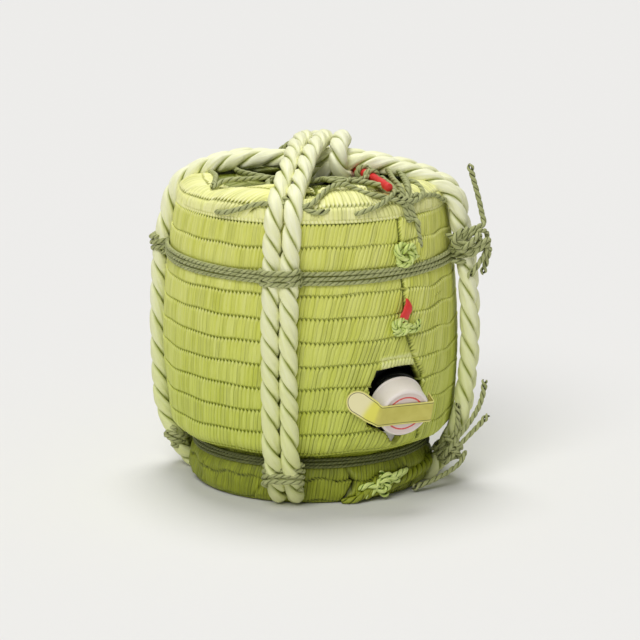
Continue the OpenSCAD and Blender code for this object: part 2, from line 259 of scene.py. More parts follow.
def straw_material(name, highlight_colour, light, base, shade_colour, fibres, flecks, depth_mm, rough, streaks=0.55,
                   low=(1, 1, 1)):
    """Rush or straw: darkened by painted shade where its shade value is above 0, lightened by a painted
    highlight where it is below 0, streaked along the fibre.

    Its colours are as seen, 0 to 255. low is painted shade: the tint that darkens it towards the barrel's
    foot.
    """
    highlight_colour, light, base, shade_colour = (srgb(*colour) for colour in (highlight_colour, light, base, shade_colour))
    material, tree, shader = new_material(name)
    straw = tree.nodes.new("ShaderNodeGroup")
    straw.node_tree = STRAW
    straw.inputs["Fibres"].default_value = fibres
    straw.inputs["Flecks"].default_value = flecks
    tree.links.new(attribute(tree, "grain").outputs["Vector"], straw.inputs["Grain"])
    # Painted shade in the hollows, painted highlights where the value is below 0, and a little random reed
    # tone, from the mesh
    hollow = attribute(tree, "hollow").outputs["Fac"]
    streak = math_node(tree, "MULTIPLY", straw.outputs["Streak"], streaks)
    blotch = math_node(tree, "MULTIPLY", straw.outputs["Blotch"], 0.45)
    colour = mix_colour(tree, math_node(tree, "ADD", streak, blotch, clamp=True), base, light)
    colour = mix_colour(tree, math_node(tree, "MULTIPLY", hollow, 1.0, clamp=True), colour, shade_colour)
    colour = mix_colour(tree, math_node(tree, "MULTIPLY", hollow, -1.0, clamp=True), colour, highlight_colour)
    dry = tuple(0.5 * a + 0.5 * b for a, b in zip(shade_colour, base))
    colour = mix_colour(tree, math_node(tree, "MULTIPLY", straw.outputs["Fleck"], 0.5), colour, dry)
    # Painted shade: the colour takes the tint low, darker towards the foot
    split = tree.nodes.new("ShaderNodeSeparateXYZ")
    tree.links.new(tree.nodes.new("ShaderNodeTexCoord").outputs["Object"], split.inputs[0])
    height = ramp(tree, split.outputs["Z"], *FOOT_SHADE_Z)
    colour = mix_colour(tree, height, colour, mix_colour(tree, 1.0, colour, low, "MULTIPLY"))
    roughness = scaled(tree, straw.outputs["Blotch"], 0.16, rough)
    surface(tree, shader, colour, roughness, straw.outputs["Height"], depth_mm)
    return material


def plain_material(name, colour, colour_2, rough, scale, depth_mm):
    """Plastic, paper or glaze: a colour that drifts a little, fine mottle in its gloss and a faint grain."""
    material, tree, shader = new_material(name)
    drift, grain = drift_and_grain(tree, scale, scale * 14)
    colour = mix_colour(tree, drift, srgb(*colour), srgb(*colour_2))
    surface(tree, shader, colour, scaled(tree, grain, 0.12, rough), grain, depth_mm)
    return material


# low, where a straw is given it, is painted shade towards the barrel's foot
RUSH = straw_material("woven rush", (249, 248, 184), (234, 236, 140), (214, 218, 80), (98, 106, 4),
                      1.0, -0.08, 0.24, 0.42, low=(0.78, 0.84, 0.56))
# Painted shade: a darker copy of the rush for the foot and its braid, in shade under the belly
SHADED_RUSH = straw_material("shaded rush", (222, 226, 116), (178, 184, 52), (142, 150, 22), (38, 44, 2),
                           1.0, -0.08, 0.24, 0.45, low=(0.8, 0.84, 0.7))
# Painted light: a paler copy of the rush for the folded top, which faces the overhead lamp
LIT_RUSH = straw_material("lit folded rush", (254, 253, 212), (251, 250, 182), (240, 241, 140), (116, 126, 8),
                          1.0, -0.1, 0.22, 0.42)
# The rope's low tint is painted shade towards the foot
ROPE = straw_material("straw rope", (254, 254, 238), (253, 253, 226), (246, 247, 190), (168, 176, 84),
                      1.1, -0.04, 0.36, 0.45, low=(0.82, 0.85, 0.6))
TWINE = straw_material("straw twine", (208, 212, 160), (182, 186, 130), (146, 152, 92), (56, 62, 20),
                       1.6, 0.0, 0.12, 0.55, 0.9)
# Painted shade: a darker copy of the twine for the lower band, in shade under the belly
SHADED_TWINE = straw_material("shaded twine", (150, 156, 100), (122, 128, 74), (92, 98, 48), (30, 34, 10),
                           1.6, 0.0, 0.12, 0.55, 0.9)
GREEN_TIE = straw_material("green cord", (244, 250, 196), (226, 238, 152), (194, 214, 100), (84, 120, 20),
                           1.6, -0.1, 0.1, 0.5, 0.8)
GLAZE = plain_material("black glaze", (12, 15, 14), (6, 8, 8), 0.05, 25, 0.02)
BLACK = plain_material("black plastic", (16, 18, 18), (10, 12, 12), 0.12, 40, 0.02)
for material in (GLAZE, BLACK):
    material.node_tree.nodes["Principled BSDF"].inputs["IOR"].default_value = 1.38
PAPER = plain_material("white paper", (226, 225, 220), (214, 212, 206), 0.75, 60, 0.03)
FOAM = plain_material("liner foam", (240, 238, 232), (232, 229, 222), 0.85, 90, 0.05)
RED = plain_material("red plastic", (236, 62, 56), (222, 48, 46), 0.4, 70, 0.02)

# Mesh tools


def make_mesh(name, points, quads, material, grain=None, hollow=None, extra=None):
    """A smooth mesh from points in mm and faces given as rows of 3 or 4 corners."""
    mesh = bpy.data.meshes.new(name)
    quads = [np.asarray(q) for q in (quads if isinstance(quads, list) else [quads])]
    mesh.vertices.add(len(points))
    mesh.vertices.foreach_set("co", (np.asarray(points) * MM).ravel())
    mesh.loops.add(sum(q.size for q in quads))
    mesh.loops.foreach_set("vertex_index", np.concatenate([q.ravel() for q in quads]))
    mesh.polygons.add(sum(len(q) for q in quads))
    sides = np.concatenate([np.full(len(q), q.shape[1]) for q in quads])
    mesh.polygons.foreach_set("loop_start", np.concatenate([[0], np.cumsum(sides)[:-1]]))
    mesh.polygons.foreach_set("use_smooth", np.ones(len(sides), bool))
    for key, value in (("grain", grain), ("hollow", hollow), *(extra or {}).items()):
        if value is None:
            continue
        value = np.asarray(value, float)
        kind, slot = ("FLOAT_VECTOR", "vector") if value.ndim == 2 else ("FLOAT", "value")
        mesh.attributes.new(key, kind, "POINT").data.foreach_set(slot, value.ravel())
    mesh.update(calc_edges=True)
    mesh.validate()
    mesh.materials.append(material)
    return new_object(name, mesh)


def finish_piece(piece, body="barrel", replaces=()):
    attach(piece, body)
    if replaces:
        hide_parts(*replaces)


def grid_quads(rows, columns, closed=False):
    """Faces of a grid whose point (row, column) is row * columns + column."""
    row = np.arange(rows - 1)[:, None]
    column = np.arange(columns if closed else columns - 1)[None, :]
    a = row * columns + column
    b = row * columns + (column + 1) % columns
    return np.stack([a, b, b + columns, a + columns], -1).reshape(-1, 4)


def closed_sheet(outer, inner, quads):
    """Points and faces of a solid between two like sheets, walled along every open edge."""
    n = len(outer)
    edges = np.concatenate([quads[:, [0, 1]], quads[:, [1, 2]], quads[:, [2, 3]], quads[:, [3, 0]]])
    key = np.sort(edges, 1) @ np.array([n, 1])
    _, first, counts = np.unique(key, return_index=True, return_counts=True)
    rim = edges[first[counts == 1]]
    walls = np.stack([rim[:, 1], rim[:, 0], rim[:, 0] + n, rim[:, 1] + n], -1)
    faces = np.concatenate([quads, quads[:, ::-1] + n, walls])
    points = np.concatenate([outer, inner])
    used = np.unique(faces)
    place = np.full(len(points), -1)
    place[used] = np.arange(len(used))
    return points[used], place[faces], used % n, used >= n


def smooth_path(points, step, rounds=6):
    """A smooth curve through the points, as points a step apart."""
    p = np.asarray(points, float)
    ends = np.concatenate([[2 * p[0] - p[1]], p, [2 * p[-1] - p[-2]]])
    out = []
    for i in range(1, len(ends) - 2):
        a, b, c, d = ends[i - 1:i + 3]
        n = max(2, int(np.linalg.norm(c - b) / step * 2))
        t = (np.arange(n) / n)[:, None]
        ta, tb, tc = (np.linalg.norm(v) ** 0.5 + 1e-9 for v in (b - a, c - b, d - c))
        m1 = (c - b) / tb - (c - a) / (ta + tb) + (b - a) / ta
        m2 = (c - b) / tb - (d - b) / (tb + tc) + (d - c) / tc
        m1, m2 = m1 * tb, m2 * tb
        out.append((2 * t ** 3 - 3 * t ** 2 + 1) * b + (t ** 3 - 2 * t ** 2 + t) * m1
                   + (3 * t ** 2 - 2 * t ** 3) * c + (t ** 3 - t ** 2) * m2)
    out = np.concatenate(out + [p[-1:]])
    for _ in range(rounds):
        out[1:-1] = (out[:-2] + 2 * out[1:-1] + out[2:]) / 4
    along = np.concatenate([[0], np.cumsum(np.linalg.norm(np.diff(out, axis=0), axis=1))])
    n = max(3, int(round(along[-1] / step)) + 1)
    at = np.linspace(0, along[-1], n)
    return np.stack([np.interp(at, along, out[:, k]) for k in range(3)], -1), at


def frames(path):
    """Directions square to a path at each point, turning as little as they can."""
    tangent = np.gradient(path, axis=0)
    tangent /= np.linalg.norm(tangent, axis=1)[:, None]
    side = np.empty_like(path)
    start = np.array([0.0, 0.0, 1.0]) if abs(tangent[0][2]) < 0.9 else np.array([1.0, 0.0, 0.0])
    v = start - tangent[0] * (start @ tangent[0])
    for i, t in enumerate(tangent):
        v = v - t * (v @ t)
        v /= np.linalg.norm(v)
        side[i] = v
    return side, np.cross(tangent, side)


def tube_rings(centre, u, v, x, y, turn):
    """Rings about each centre: x and y are the section's points, turned by turn from u."""
    c, s = np.cos(turn)[:, None], np.sin(turn)[:, None]
    along_u = (x * c - y * s)[..., None]
    along_v = (x * s + y * c)[..., None]
    return centre[:, None, :] + along_u * u[:, None, :] + along_v * v[:, None, :]


def strand_section(strands, sides):
    """Section of one strand of a rope of radius 1, as x out from the rope's axis and y across."""
    k = 2 * math.pi * np.arange(sides) / sides
    c, s = np.cos(k), np.sin(k)
    if strands == 1:
        return c, s
    if strands == 3:
        return 0.5 + 0.46 * c, 0.56 * s
    return 0.42 + 0.57 * c, 0.77 * s


def capped(rows, sides, offset=0):
    """Faces of a closed tube of rows rings, its ends closed onto their middle points, which come last."""
    body = grid_quads(rows, sides, closed=True)
    k = np.arange(sides)
    first, last = rows * sides, rows * sides + 1
    start = np.stack([np.full(sides, first), (k + 1) % sides, k], -1)
    end = np.stack([np.full(sides, last), (rows - 1) * sides + k, (rows - 1) * sides + (k + 1) % sides], -1)
    return body + offset, np.concatenate([start, end]) + offset


# Nothing laid from strands sinks below the table
TABLE_GAP = 0.2


class Strands:
    """Gathers tubes into one mesh, with the grain of their straw and painted shade in the hollows between
    them.
    """

    def __init__(self):
        self.points, self.quads, self.tris, self.grain, self.hollow, self.count = [], [], [], [], [], 0

    def tube(self, path, at, u, v, section, size, turn, lay=0.0, ridges=0.05, squeeze=0.06):
        """One strand along its rope's path. size is the rope's radius, lay its fibres' turn per mm."""
        x, y = section
        sides = len(x)
        k = 2 * math.pi * np.arange(sides) / sides
        phase = k[None, :] + lay * at[:, None]
        seed = rng.uniform(0, 100)
        lumps = 1.0
        for n in (3, 5, 8, 11):
            start = rng.uniform(0, 6.28)
            lumps = lumps + ridges / n ** 0.5 * np.sin(n * phase + start + 0.01 * n * at[:, None])
        rings = tube_rings(path, u, v, x * size[:, None] * lumps, y * size[:, None] * lumps, turn)
        middle = rings[[0, -1]].mean(1)
        body, caps = capped(len(path), sides, self.count)
        r = float(np.mean(size)) * 0.6
        grain = np.stack([r * np.cos(phase) + seed, r * np.sin(phase), at[:, None] * squeeze + 0 * phase], -1)
        away = np.linalg.norm(rings - path[:, None, :], axis=-1) / size[:, None]
        # Painted shade in the hollows between the strands
        hollow = unit((0.84 - away) / 0.26) ** 1.4 if abs(x.mean()) > 0.1 else 0 * away
        self.points.append(np.concatenate([rings.reshape(-1, 3), middle]))
        self.quads.append(body)
        self.tris.append(caps)
        self.grain.append(np.concatenate([grain.reshape(-1, 3), grain[0, :1], grain[-1, :1]]))
        self.hollow.append(np.concatenate([hollow.ravel(), hollow[0, :1], hollow[-1, :1]]))
        self.count += len(rings.reshape(-1, 3)) + 2

    def rope(self, route, d, pitch, sides, step, strands=2, taper=(0, 0), rounds=6, ridges=0.05, squeeze=0.06,
             fan=0.0):
        """A laid rope along a route. fan opens its strands at its end, as where it frays."""
        path, at = smooth_path(route, step, rounds)
        u, v = frames(path)
        size = np.full(len(at), d / 2)
        for length, way in ((taper[0], at), (taper[1], at[-1] - at)):
            if length:
                size *= np.clip(0.3 + 0.7 * way / length, 0.3, 1) ** 0.6
        size *= 1 + 0.03 * np.sin(at / (1.7 * pitch) + rng.uniform(0, 6)) + 0.02 * np.sin(at / (0.61 * pitch))
        start = rng.uniform(0, 6.28)
        section = strand_section(strands, sides)
        uneven = at + 0.05 * pitch * np.sin(at / (0.9 * pitch) + start)
        uneven = uneven + 0.04 * pitch * np.sin(at / (0.37 * pitch))
        for i in range(strands):
            turn = start - 2 * math.pi * uneven / pitch + 2 * math.pi * i / strands
            line = path
            if fan:
                out = u * np.cos(turn)[:, None] + v * np.sin(turn)[:, None]
                line = path + out * (fan * unit(1 - (at[-1] - at) / (4 * d)) ** 2)[:, None]
            self.tube(line, at, u, v, section, size, turn, -1.7 * math.pi / pitch, ridges, squeeze)

    def piece(self, name, material):
        points = np.concatenate(self.points)
        points[:, 2] = np.maximum(points[:, 2], TABLE_GAP)
        return make_mesh(name, points, [np.concatenate(self.quads), np.concatenate(self.tris)],
                         material, np.concatenate(self.grain), np.concatenate(self.hollow))


def turned(points, a):
    """Points turned a degrees about the barrel's axis."""
    t = math.radians(a)
    x, y, z = np.asarray(points, float).T
    return np.stack([x * math.cos(t) - y * math.sin(t), x * math.sin(t) + y * math.cos(t), z], -1)


# The mat: one section line from its top edge to the fold under the jar, by length down from the rim
REEDS = 218
PER_REED = 8
COURSE = 13.75
REED_W = 2 * math.pi * BELLY_R / REEDS


def section_line():
    top = [[TOP_HOLE_R, TOP_Z - 2], [TOP_HOLE_R + 8, TOP_Z]]
    side = (arc(SHOULDER_C, SHOULDER_R, 80, math.degrees(RIM_A), 16)
            + arc((BELLY_C, BELLY_Z), BELLY_ARC, math.degrees(RIM_A), math.degrees(HEM_A), 40)[1:]
            + arc(HEM_C, HEM_R, math.degrees(HEM_A), -80, 12)[1:])
    foot = ([[GROOVE_R + 1.2, LOWER_BAND_Z + 5.5], [GROOVE_R, LOWER_BAND_Z + 2], [GROOVE_R, LOWER_BAND_Z - 1],
             [FOOT_R - 0.3, LOWER_BAND_Z - 6], [FOOT_R, LOWER_BAND_Z - 9]]
            + arc((FOOT_R - 5, 5), 5, 0, -90, 6)
            + [[36, 0]])
    p = np.array(top + side + foot)
    along = np.concatenate([[0], np.cumsum(np.linalg.norm(np.diff(p, axis=0), axis=1))])
    at = np.arange(0, along[-1], 0.25)
    line = np.stack([np.interp(at, along, p[:, k]) for k in range(2)], -1)
    for _ in range(8):
        line[1:-1] = (line[:-2] + 2 * line[1:-1] + line[2:]) / 4
    rim = np.argmin(np.abs(line[:, 1] - RIM_Z) + (line[:, 0] < 70) * 99)
    tangent = np.gradient(line, axis=0)
    normal = np.stack([-tangent[:, 1], tangent[:, 0]], -1)
    normal /= np.linalg.norm(normal, axis=1)[:, None]
    return at - at[rim], line, normal


LINE_S, LINE, LINE_N = section_line()


def on_mat(theta, s, lift):
    """Points of the mat at turn theta and s mm below the rim, lifted off its surface."""
    r = np.interp(s, LINE_S, LINE[:, 0]) + lift * np.interp(s, LINE_S, LINE_N[:, 0])
    z = np.interp(s, LINE_S, LINE[:, 1]) + lift * np.interp(s, LINE_S, LINE_N[:, 1])
    t = np.radians(theta)
    return np.stack([r * np.sin(t), -r * np.cos(t), z], -1)


def s_at(z):
    """How far below the rim the mat's side is at height z."""
    side = (LINE_S > -1) & (LINE[:, 0] > 50)
    order = np.argsort(LINE[side, 1])
    return np.interp(z, LINE[side, 1][order], LINE_S[side][order])


# Where rows of points lie within a course: close together at the stitch, further apart between
ROWS = np.array([0.0, 0.3, 0.65, 1.1, 1.7, 2.6, 4.0, 5.8, 7.8, 9.5, 10.8, 11.8, 12.5, 13.0, 13.4])
# Where across a reed its point is, and how far in mm the stitch pulls, the lip swells and the slit opens
TIP = 0.625
PULL, LIP, SLIT = 2.2, 0.8, 0.6
# Half the groove between reeds, as a part of a reed
GROOVE = 0.09


def reed_noise(seed, size):
    return np.random.default_rng(seed).uniform(-1, 1, size)


REED_TONE = reed_noise(11, (REEDS, 24))
REED_SHIFT = reed_noise(12, (REEDS, 24))


def weave(columns, offset_s, lean, marked=0.5):
    """Turn, slide along the section, lift, and painted shade and highlight of a woven stretch.

    columns are reed numbers, with fractions inside a reed, and offset_s is mm below the rim. Reeds lean
    within a course. At the stitched line each reed of the lower course starts in a point, leaning right,
    and slits lie between the points, dark with painted shade; the lip just below the stitch has a painted
    highlight. marked is how strongly the lines between reeds show, in depth and painted shade. Each reed
    also gets a little random tone.
    """
    course = np.floor(offset_s / COURSE + 1e-6)
    row = course.astype(int) % 24
    within = offset_s - course * COURSE
    below = np.where(within < COURSE / 2, within, within - COURSE)
    number = np.floor(columns + 1e-6).astype(int)
    phase = columns - number
    tip = np.where(phase < TIP, phase / TIP, (1 - phase) / (1 - TIP))
    pull = hump(below, PULL)
    slide = -1.5 * (tip - 0.5) * pull
    wide = (1 - phase) * REED_SHIFT[number % REEDS, row] + phase * REED_SHIFT[(number + 1) % REEDS, row]
    shift = lean * (0.5 - within / COURSE) + 0.3 * np.tanh(below / 0.5) * np.exp(-np.abs(below) / PULL)
    shift = shift + 0.2 * wide * (1 - pull)
    belly = np.sin(math.pi * unit(within / COURSE)) ** 0.6
    valley = hump(below + 0.1, SLIT)
    lip = hump(below - 1.0, LIP)
    groove = hump(np.minimum(phase, 1 - phase), GROOVE)
    tone = REED_TONE[number % REEDS, row]
    half = hump(phase - 0.5, GROOVE) * (tone > 0.35)
    line = unit(marked * (1 + 0.9 * tone) + 0.35 * pull)
    lift = 0.5 * belly + 0.45 * lip * tip - 0.85 * valley * (1 - 0.5 * tip) + 0.2 * (1 - (2 * phase - 1) ** 2)
    lift = lift - (0.15 + 0.45 * line) * groove - 0.15 * half + 0.1 * tone
    # Painted shade in the slits and the lines between reeds, and a painted highlight on the lip
    hollow = valley * (0.35 + 0.6 * (1 - tip)) + 0.62 * line * groove + 0.2 * marked * half
    hollow = hollow - 0.75 * lip * tip ** 2
    return shift, slide, lift - 0.4, np.clip(hollow + 0.16 * tone * (1 - pull), -1, 1), course


def woven(outer, inner, quads, columns, along, course, hollow, dark, apart=0):
    """Points, faces, grain and painted shade of a woven sheet with a thickness, its back painted dark as
    shade.

    apart sets its grain apart from other sheets' grain.
    """
    points, faces, source, back = closed_sheet(outer.reshape(-1, 3), inner.reshape(-1, 3), quads)
    grain = np.stack([columns * REED_W, course * 7.3 + apart, along * 0.05], -1).reshape(-1, 3)[source]
    # The back of the sheet is painted dark as shade
    return points, faces, grain, np.where(back, dark, hollow.ravel()[source])


def inside(polygon, x, y):
    hit = np.zeros(x.shape, bool)
    for (xa, ya), (xb, yb) in zip(polygon, polygon[1:] + polygon[:1]):
        if ya == yb:
            continue
        cross = ((ya > y) != (yb > y)) & (x < (xb - xa) * (y - ya) / (yb - ya) + xa)
        hit ^= cross
    return hit


SPOUT_GAP = [[-18.5, 50], [-18, 72], [-13.5, 83.5], [14, 82.5], [20, 72], [20, 50], [6, 42], [1, 34],
             [-6, 44]]
FOOT_FOLDS = 13


def lean_at(theta):
    """How far the reeds lean within a course, in reeds: most beside the seam."""
    t = (theta + 180) % 360 - 180
    return 0.25 + 1.5 * hump(t + 6, 24) + 0.7 * hump(t - 25, 14)


def marked_at(theta, s):
    """How strongly the lines between reeds show, in depth and painted shade: least high on the left, most low
    down and beside the seam.
    """
    t = (theta + 180) % 360 - 180
    return 0.2 + 0.3 * unit(s / 130) ** 1.5 + 0.25 * hump(t - 5, 30)


def row_wander(theta, s):
    """How far the stitched rows stray up and down, most right of the seam."""
    t = (theta + 180) % 360 - 180
    row = np.round(s / COURSE)
    stray = 0.35 * np.sin(0.11 * t + 1.9 * row) + 0.3 * np.sin(0.29 * t + 0.8 * row)
    return stray * (1 + 1.8 * hump(t - 24, 16)) * unit(s / 10) * unit((s_at(34) - s) / 10)


def bulges(theta, s):
    """Slow unevenness of the wrapped mat."""
    t = np.radians(theta)
    waves = ((0.3, 3, 0.03, 0), (0.3, 7, -0.05, 1), (0.25, 13, 0.09, 2))
    return sum(depth * np.sin(n * t + down * s + start) for depth, n, down, start in waves)


# The upper band lies lower by BAND_DIP at turn BAND_DIP_A
BAND_DIP, BAND_DIP_A = 2.5, -20


def band_z(theta):
    """Height of the middle of the upper band."""
    return UPPER_BAND_Z - BAND_DIP * np.cos(np.radians(theta - BAND_DIP_A))


SEAM_A = 4.4
# The lapped edge stands LAP_STEP proud, and the bright ends of the reeds over the spout lie in these bounds
LAP_STEP = 1.9
FRINGE_Z, FRINGE_A = (81, 91), (-7.5, 10)
# Where the side's panels begin and end, the seam's foot and the mat's thickness behind them
PANEL_TOP_S, PANEL_FOOT_Z, SEAM_FOOT_Z, PANEL_T = -0.9, 30.5, 36, 4.6


def seam_turn(z):
    """Turn of the lapped edge, which leans right above the spout."""
    return SEAM_A + 9.0 * unit((112 - z) / 36) ** 1.6


def side_panel(name, first, last):
    """A stretch of the mat's side from reed number first to last, closed behind."""
    columns = np.arange(first * PER_REED, last * PER_REED + 1) / PER_REED
    s = np.concatenate([[PANEL_TOP_S, PANEL_TOP_S + 0.5]] + [k * COURSE + ROWS for k in range(11)])
    s = s[s < s_at(PANEL_FOOT_Z)]
    c, d = np.meshgrid(columns, s)
    theta = c * 360 / REEDS
    shift, slide, lift, hollow, course = weave(c, np.maximum(d, 0), lean_at(theta), marked_at(theta, d))
    turn = theta + shift * 360 / REEDS
    down = d + (slide + row_wander(theta, d)) * (d > -0.5)
    height = np.interp(down, LINE_S, LINE[:, 1])
    from_seam = turn - seam_turn(height)
    sewn = height > SEAM_FOOT_Z
    lap = unit(from_seam / 0.9) * unit((24 - from_seam) / 14) * sewn
    lift = lift + bulges(turn, down) + LAP_STEP * lap
    # The twine presses the mat in, and the layers part at the seam
    pressed = hump(height - band_z(turn), 5.5)
    lift = lift + pressed * (-0.8 - 0.75 * lift)
    edge = hump(from_seam, 0.5) * sewn
    lift = lift - 1.6 * hump(from_seam + 0.3, 0.5) * sewn
    # Painted shade along the seam's line and a painted highlight on the lapped edge beside it
    beside = np.where(from_seam < 1.2, hollow - 0.5 * edge, hollow)
    hollow = np.where(from_seam < 0.25, np.maximum(hollow, edge), beside)
    # The reed ends over the spout are painted in the highlight colour
    bare = unit((height - FRINGE_Z[0]) / 2) * unit((FRINGE_Z[1] - height) / 1.5)
    bare = bare * unit((turn - FRINGE_A[0]) / 1.2) * unit((FRINGE_A[1] - turn) / 1.2)
    hollow = hollow * (1 - bare) - bare * (1 - 0.9 * np.maximum(hollow, 0))
    outer = on_mat(turn, down, lift)
    inner = on_mat(turn, down, 0 * lift - PANEL_T)
    quads = grid_quads(len(s), len(columns))[:, ::-1]
    middle = outer.reshape(-1, 3)[quads].mean(1)
    gone = (middle[:, 1] < 0) & inside(SPOUT_GAP, middle[:, 0], middle[:, 2])
    points, faces, grain, hollow = woven(outer, inner, quads[~gone], c, d, course, hollow, 0.5)
    return make_mesh(name, points, faces, RUSH, grain, hollow)


TOP_LINE = LINE[LINE_S <= 2]
TOP_LINE_N = LINE_N[LINE_S <= 2]
TOP_LINE_R = np.maximum.accumulate(TOP_LINE[:, 0] + 1e-5 * np.arange(len(TOP_LINE)))


def over_top(r, a, lift):
    """Points over the folded top at radius r and turn a, lifted off it."""
    out = r + lift * np.interp(r, TOP_LINE_R, TOP_LINE_N[:, 0])
    z = np.interp(r, TOP_LINE_R, TOP_LINE[:, 1]) + lift * np.interp(r, TOP_LINE_R, TOP_LINE_N[:, 1])
    t = np.radians(a)
    return np.stack([out * np.sin(t), -out * np.cos(t), z + 0 * t], -1)


TOP_T = 3.5


def mat_top():
    """The layer under the flaps: reeds running in over the shoulder, painted dark as shade further in from
    the rim, where the flaps leave them bare.
    """
    s = np.concatenate([-ROWS[:-1], -COURSE - ROWS, np.arange(-2 * COURSE, LINE_S[0] + 0.3, -1.2)])
    columns = np.arange(REEDS * PER_REED) / PER_REED
    c, d = np.meshgrid(columns, s)
    shift, slide, lift, hollow, course = weave(c, -d, 0.3, 0.35)
    a = (c + shift) * 360 / REEDS
    lift = (0.8 * lift + 0.3 * np.sin(9 * np.radians(a))) * unit(-d / 2)
    # Painted shade, deeper further in from the rim
    hollow = np.clip(hollow + 0.9 * unit((-d - 14) / 16), -1, 1)
    quads = grid_quads(len(s), len(columns), closed=True)
    outer, inner = on_mat(a, d + 0.3 * slide, lift), on_mat(a, d, 0 * lift - TOP_T)
    points, faces, grain, hollow = woven(outer, inner, quads, c, d, course, hollow, 0.9)
    return make_mesh("mat_top", points, faces, LIT_RUSH, grain, hollow)


# Flaps on the top: turn, width, how far in from the rim, lift at the rim's end and inner end, lean, and bow
FLAPS = [
    (-84, 66, 25, 0.9, 1.2, 0.1, 1.0), (-44, 40, 17, 1.0, 0.9, -0.1, 1.0), (-74, 34, 36, 2.6, 3.2, 0.75, 2.6),
    (-36, 26, 15, 1.0, 1.6, 0.2, 0.8), (-18, 34, 24, 2.2, 5.4, 0.06, 0.6), (4, 40, 19, 1.0, 1.4, -0.25, 1.0),
    (30, 44, 22, 2.0, 3.4, 0.1, 1.4), (62, 58, 30, 0.9, 2.6, -0.3, 1.8), (104, 60, 26, 1.3, 2.2, 0.2, 1.4),
    (146, 56, 29, 0.9, 2.8, 0.3, 1.8), (188, 60, 25, 1.3, 2.0, -0.2, 1.4), (232, 58, 28, 0.9, 2.6, 0.25, 1.8),
]
RIM_LINE_R = float(np.interp(-2.0, LINE_S, LINE[:, 0]))
FLAP_T = 1.7


def flap(number, middle, wide, reach, low, high, lean, bow):
    """One folded end: points, faces, grain and painted shade of a stretch of woven reeds with a ragged end.
    """
    reeds = int(round(wide / REED_W))
    columns = np.arange(reeds * PER_REED + 1) / PER_REED
    start = COURSE * 0.5
    s = np.unique(np.concatenate([[0.0], *[k * COURSE + ROWS - start for k in range(4)], [reach]]))
    s = s[(s >= 0) & (s <= reach)]
    c, d = np.meshgrid(columns, s)
    # Each flap starts at reeds of its own
    own = c + 37 * number
    shift, slide, lift, hollow, course = weave(own, d + start, 0.2, 0.45)
    across = (c + shift * (c > 0.5) * (c < reeds - 0.5) - reeds / 2) * REED_W
    part = d / reach
    from_middle = 2 * c / reeds - 1
    ragged = 0.9 * REED_TONE[np.floor(own).astype(int) % REEDS, 3] + 2.5 * bow * from_middle ** 2
    inward = d + slide - ragged * unit((d - reach + 5) / 5)
    across = across * (1 - 0.1 * part) + lean * d
    x = RIM_LINE_R * np.sin(across / RIM_LINE_R)
    y = RIM_LINE_R * np.cos(across / RIM_LINE_R) - (RIM_LINE_R - np.interp(-inward - 2, LINE_S, LINE[:, 0]))
    r = np.hypot(x, y)
    a = middle + np.degrees(np.arctan2(x, y))
    side = np.abs(from_middle) ** 6
    raised = (low + (high - low) * part ** 1.5) * np.clip(d / 4, 0.15, 1)
    raised = raised + bow * np.sin(math.pi * part) * (1 - side)
    raised = raised + 0.45 * np.sin(0.35 * across + number) * part - 0.8 * side
    border = np.minimum(np.minimum(c, reeds - c) * REED_W, reach - d)
    # A painted highlight along the flap's edges
    hollow = np.clip(hollow - 0.45 * hump(border, 1.0), -1, 1)
    outer, inner = over_top(r, a, raised + 0.8 * lift), over_top(r, a, raised - FLAP_T)
    return woven(outer, inner, grid_quads(len(s), len(columns)), own, d, course, hollow, 0.85, number)


def mat_flaps():
    """The mat's upper ends, folded in over the top."""
    sheets, count = [], 0
    for number, shape in enumerate(FLAPS):
        points, faces, grain, hollow = flap(number, *shape)
        sheets.append((points, faces + count, grain, hollow))
        count += len(points)
    points, faces, grain, hollow = (np.concatenate(part) for part in zip(*sheets))
    return make_mesh("mat_flaps", points, faces, LIT_RUSH, grain, hollow)


FOOT_TOP_Z, FOOT_T = 31.5, 3.4


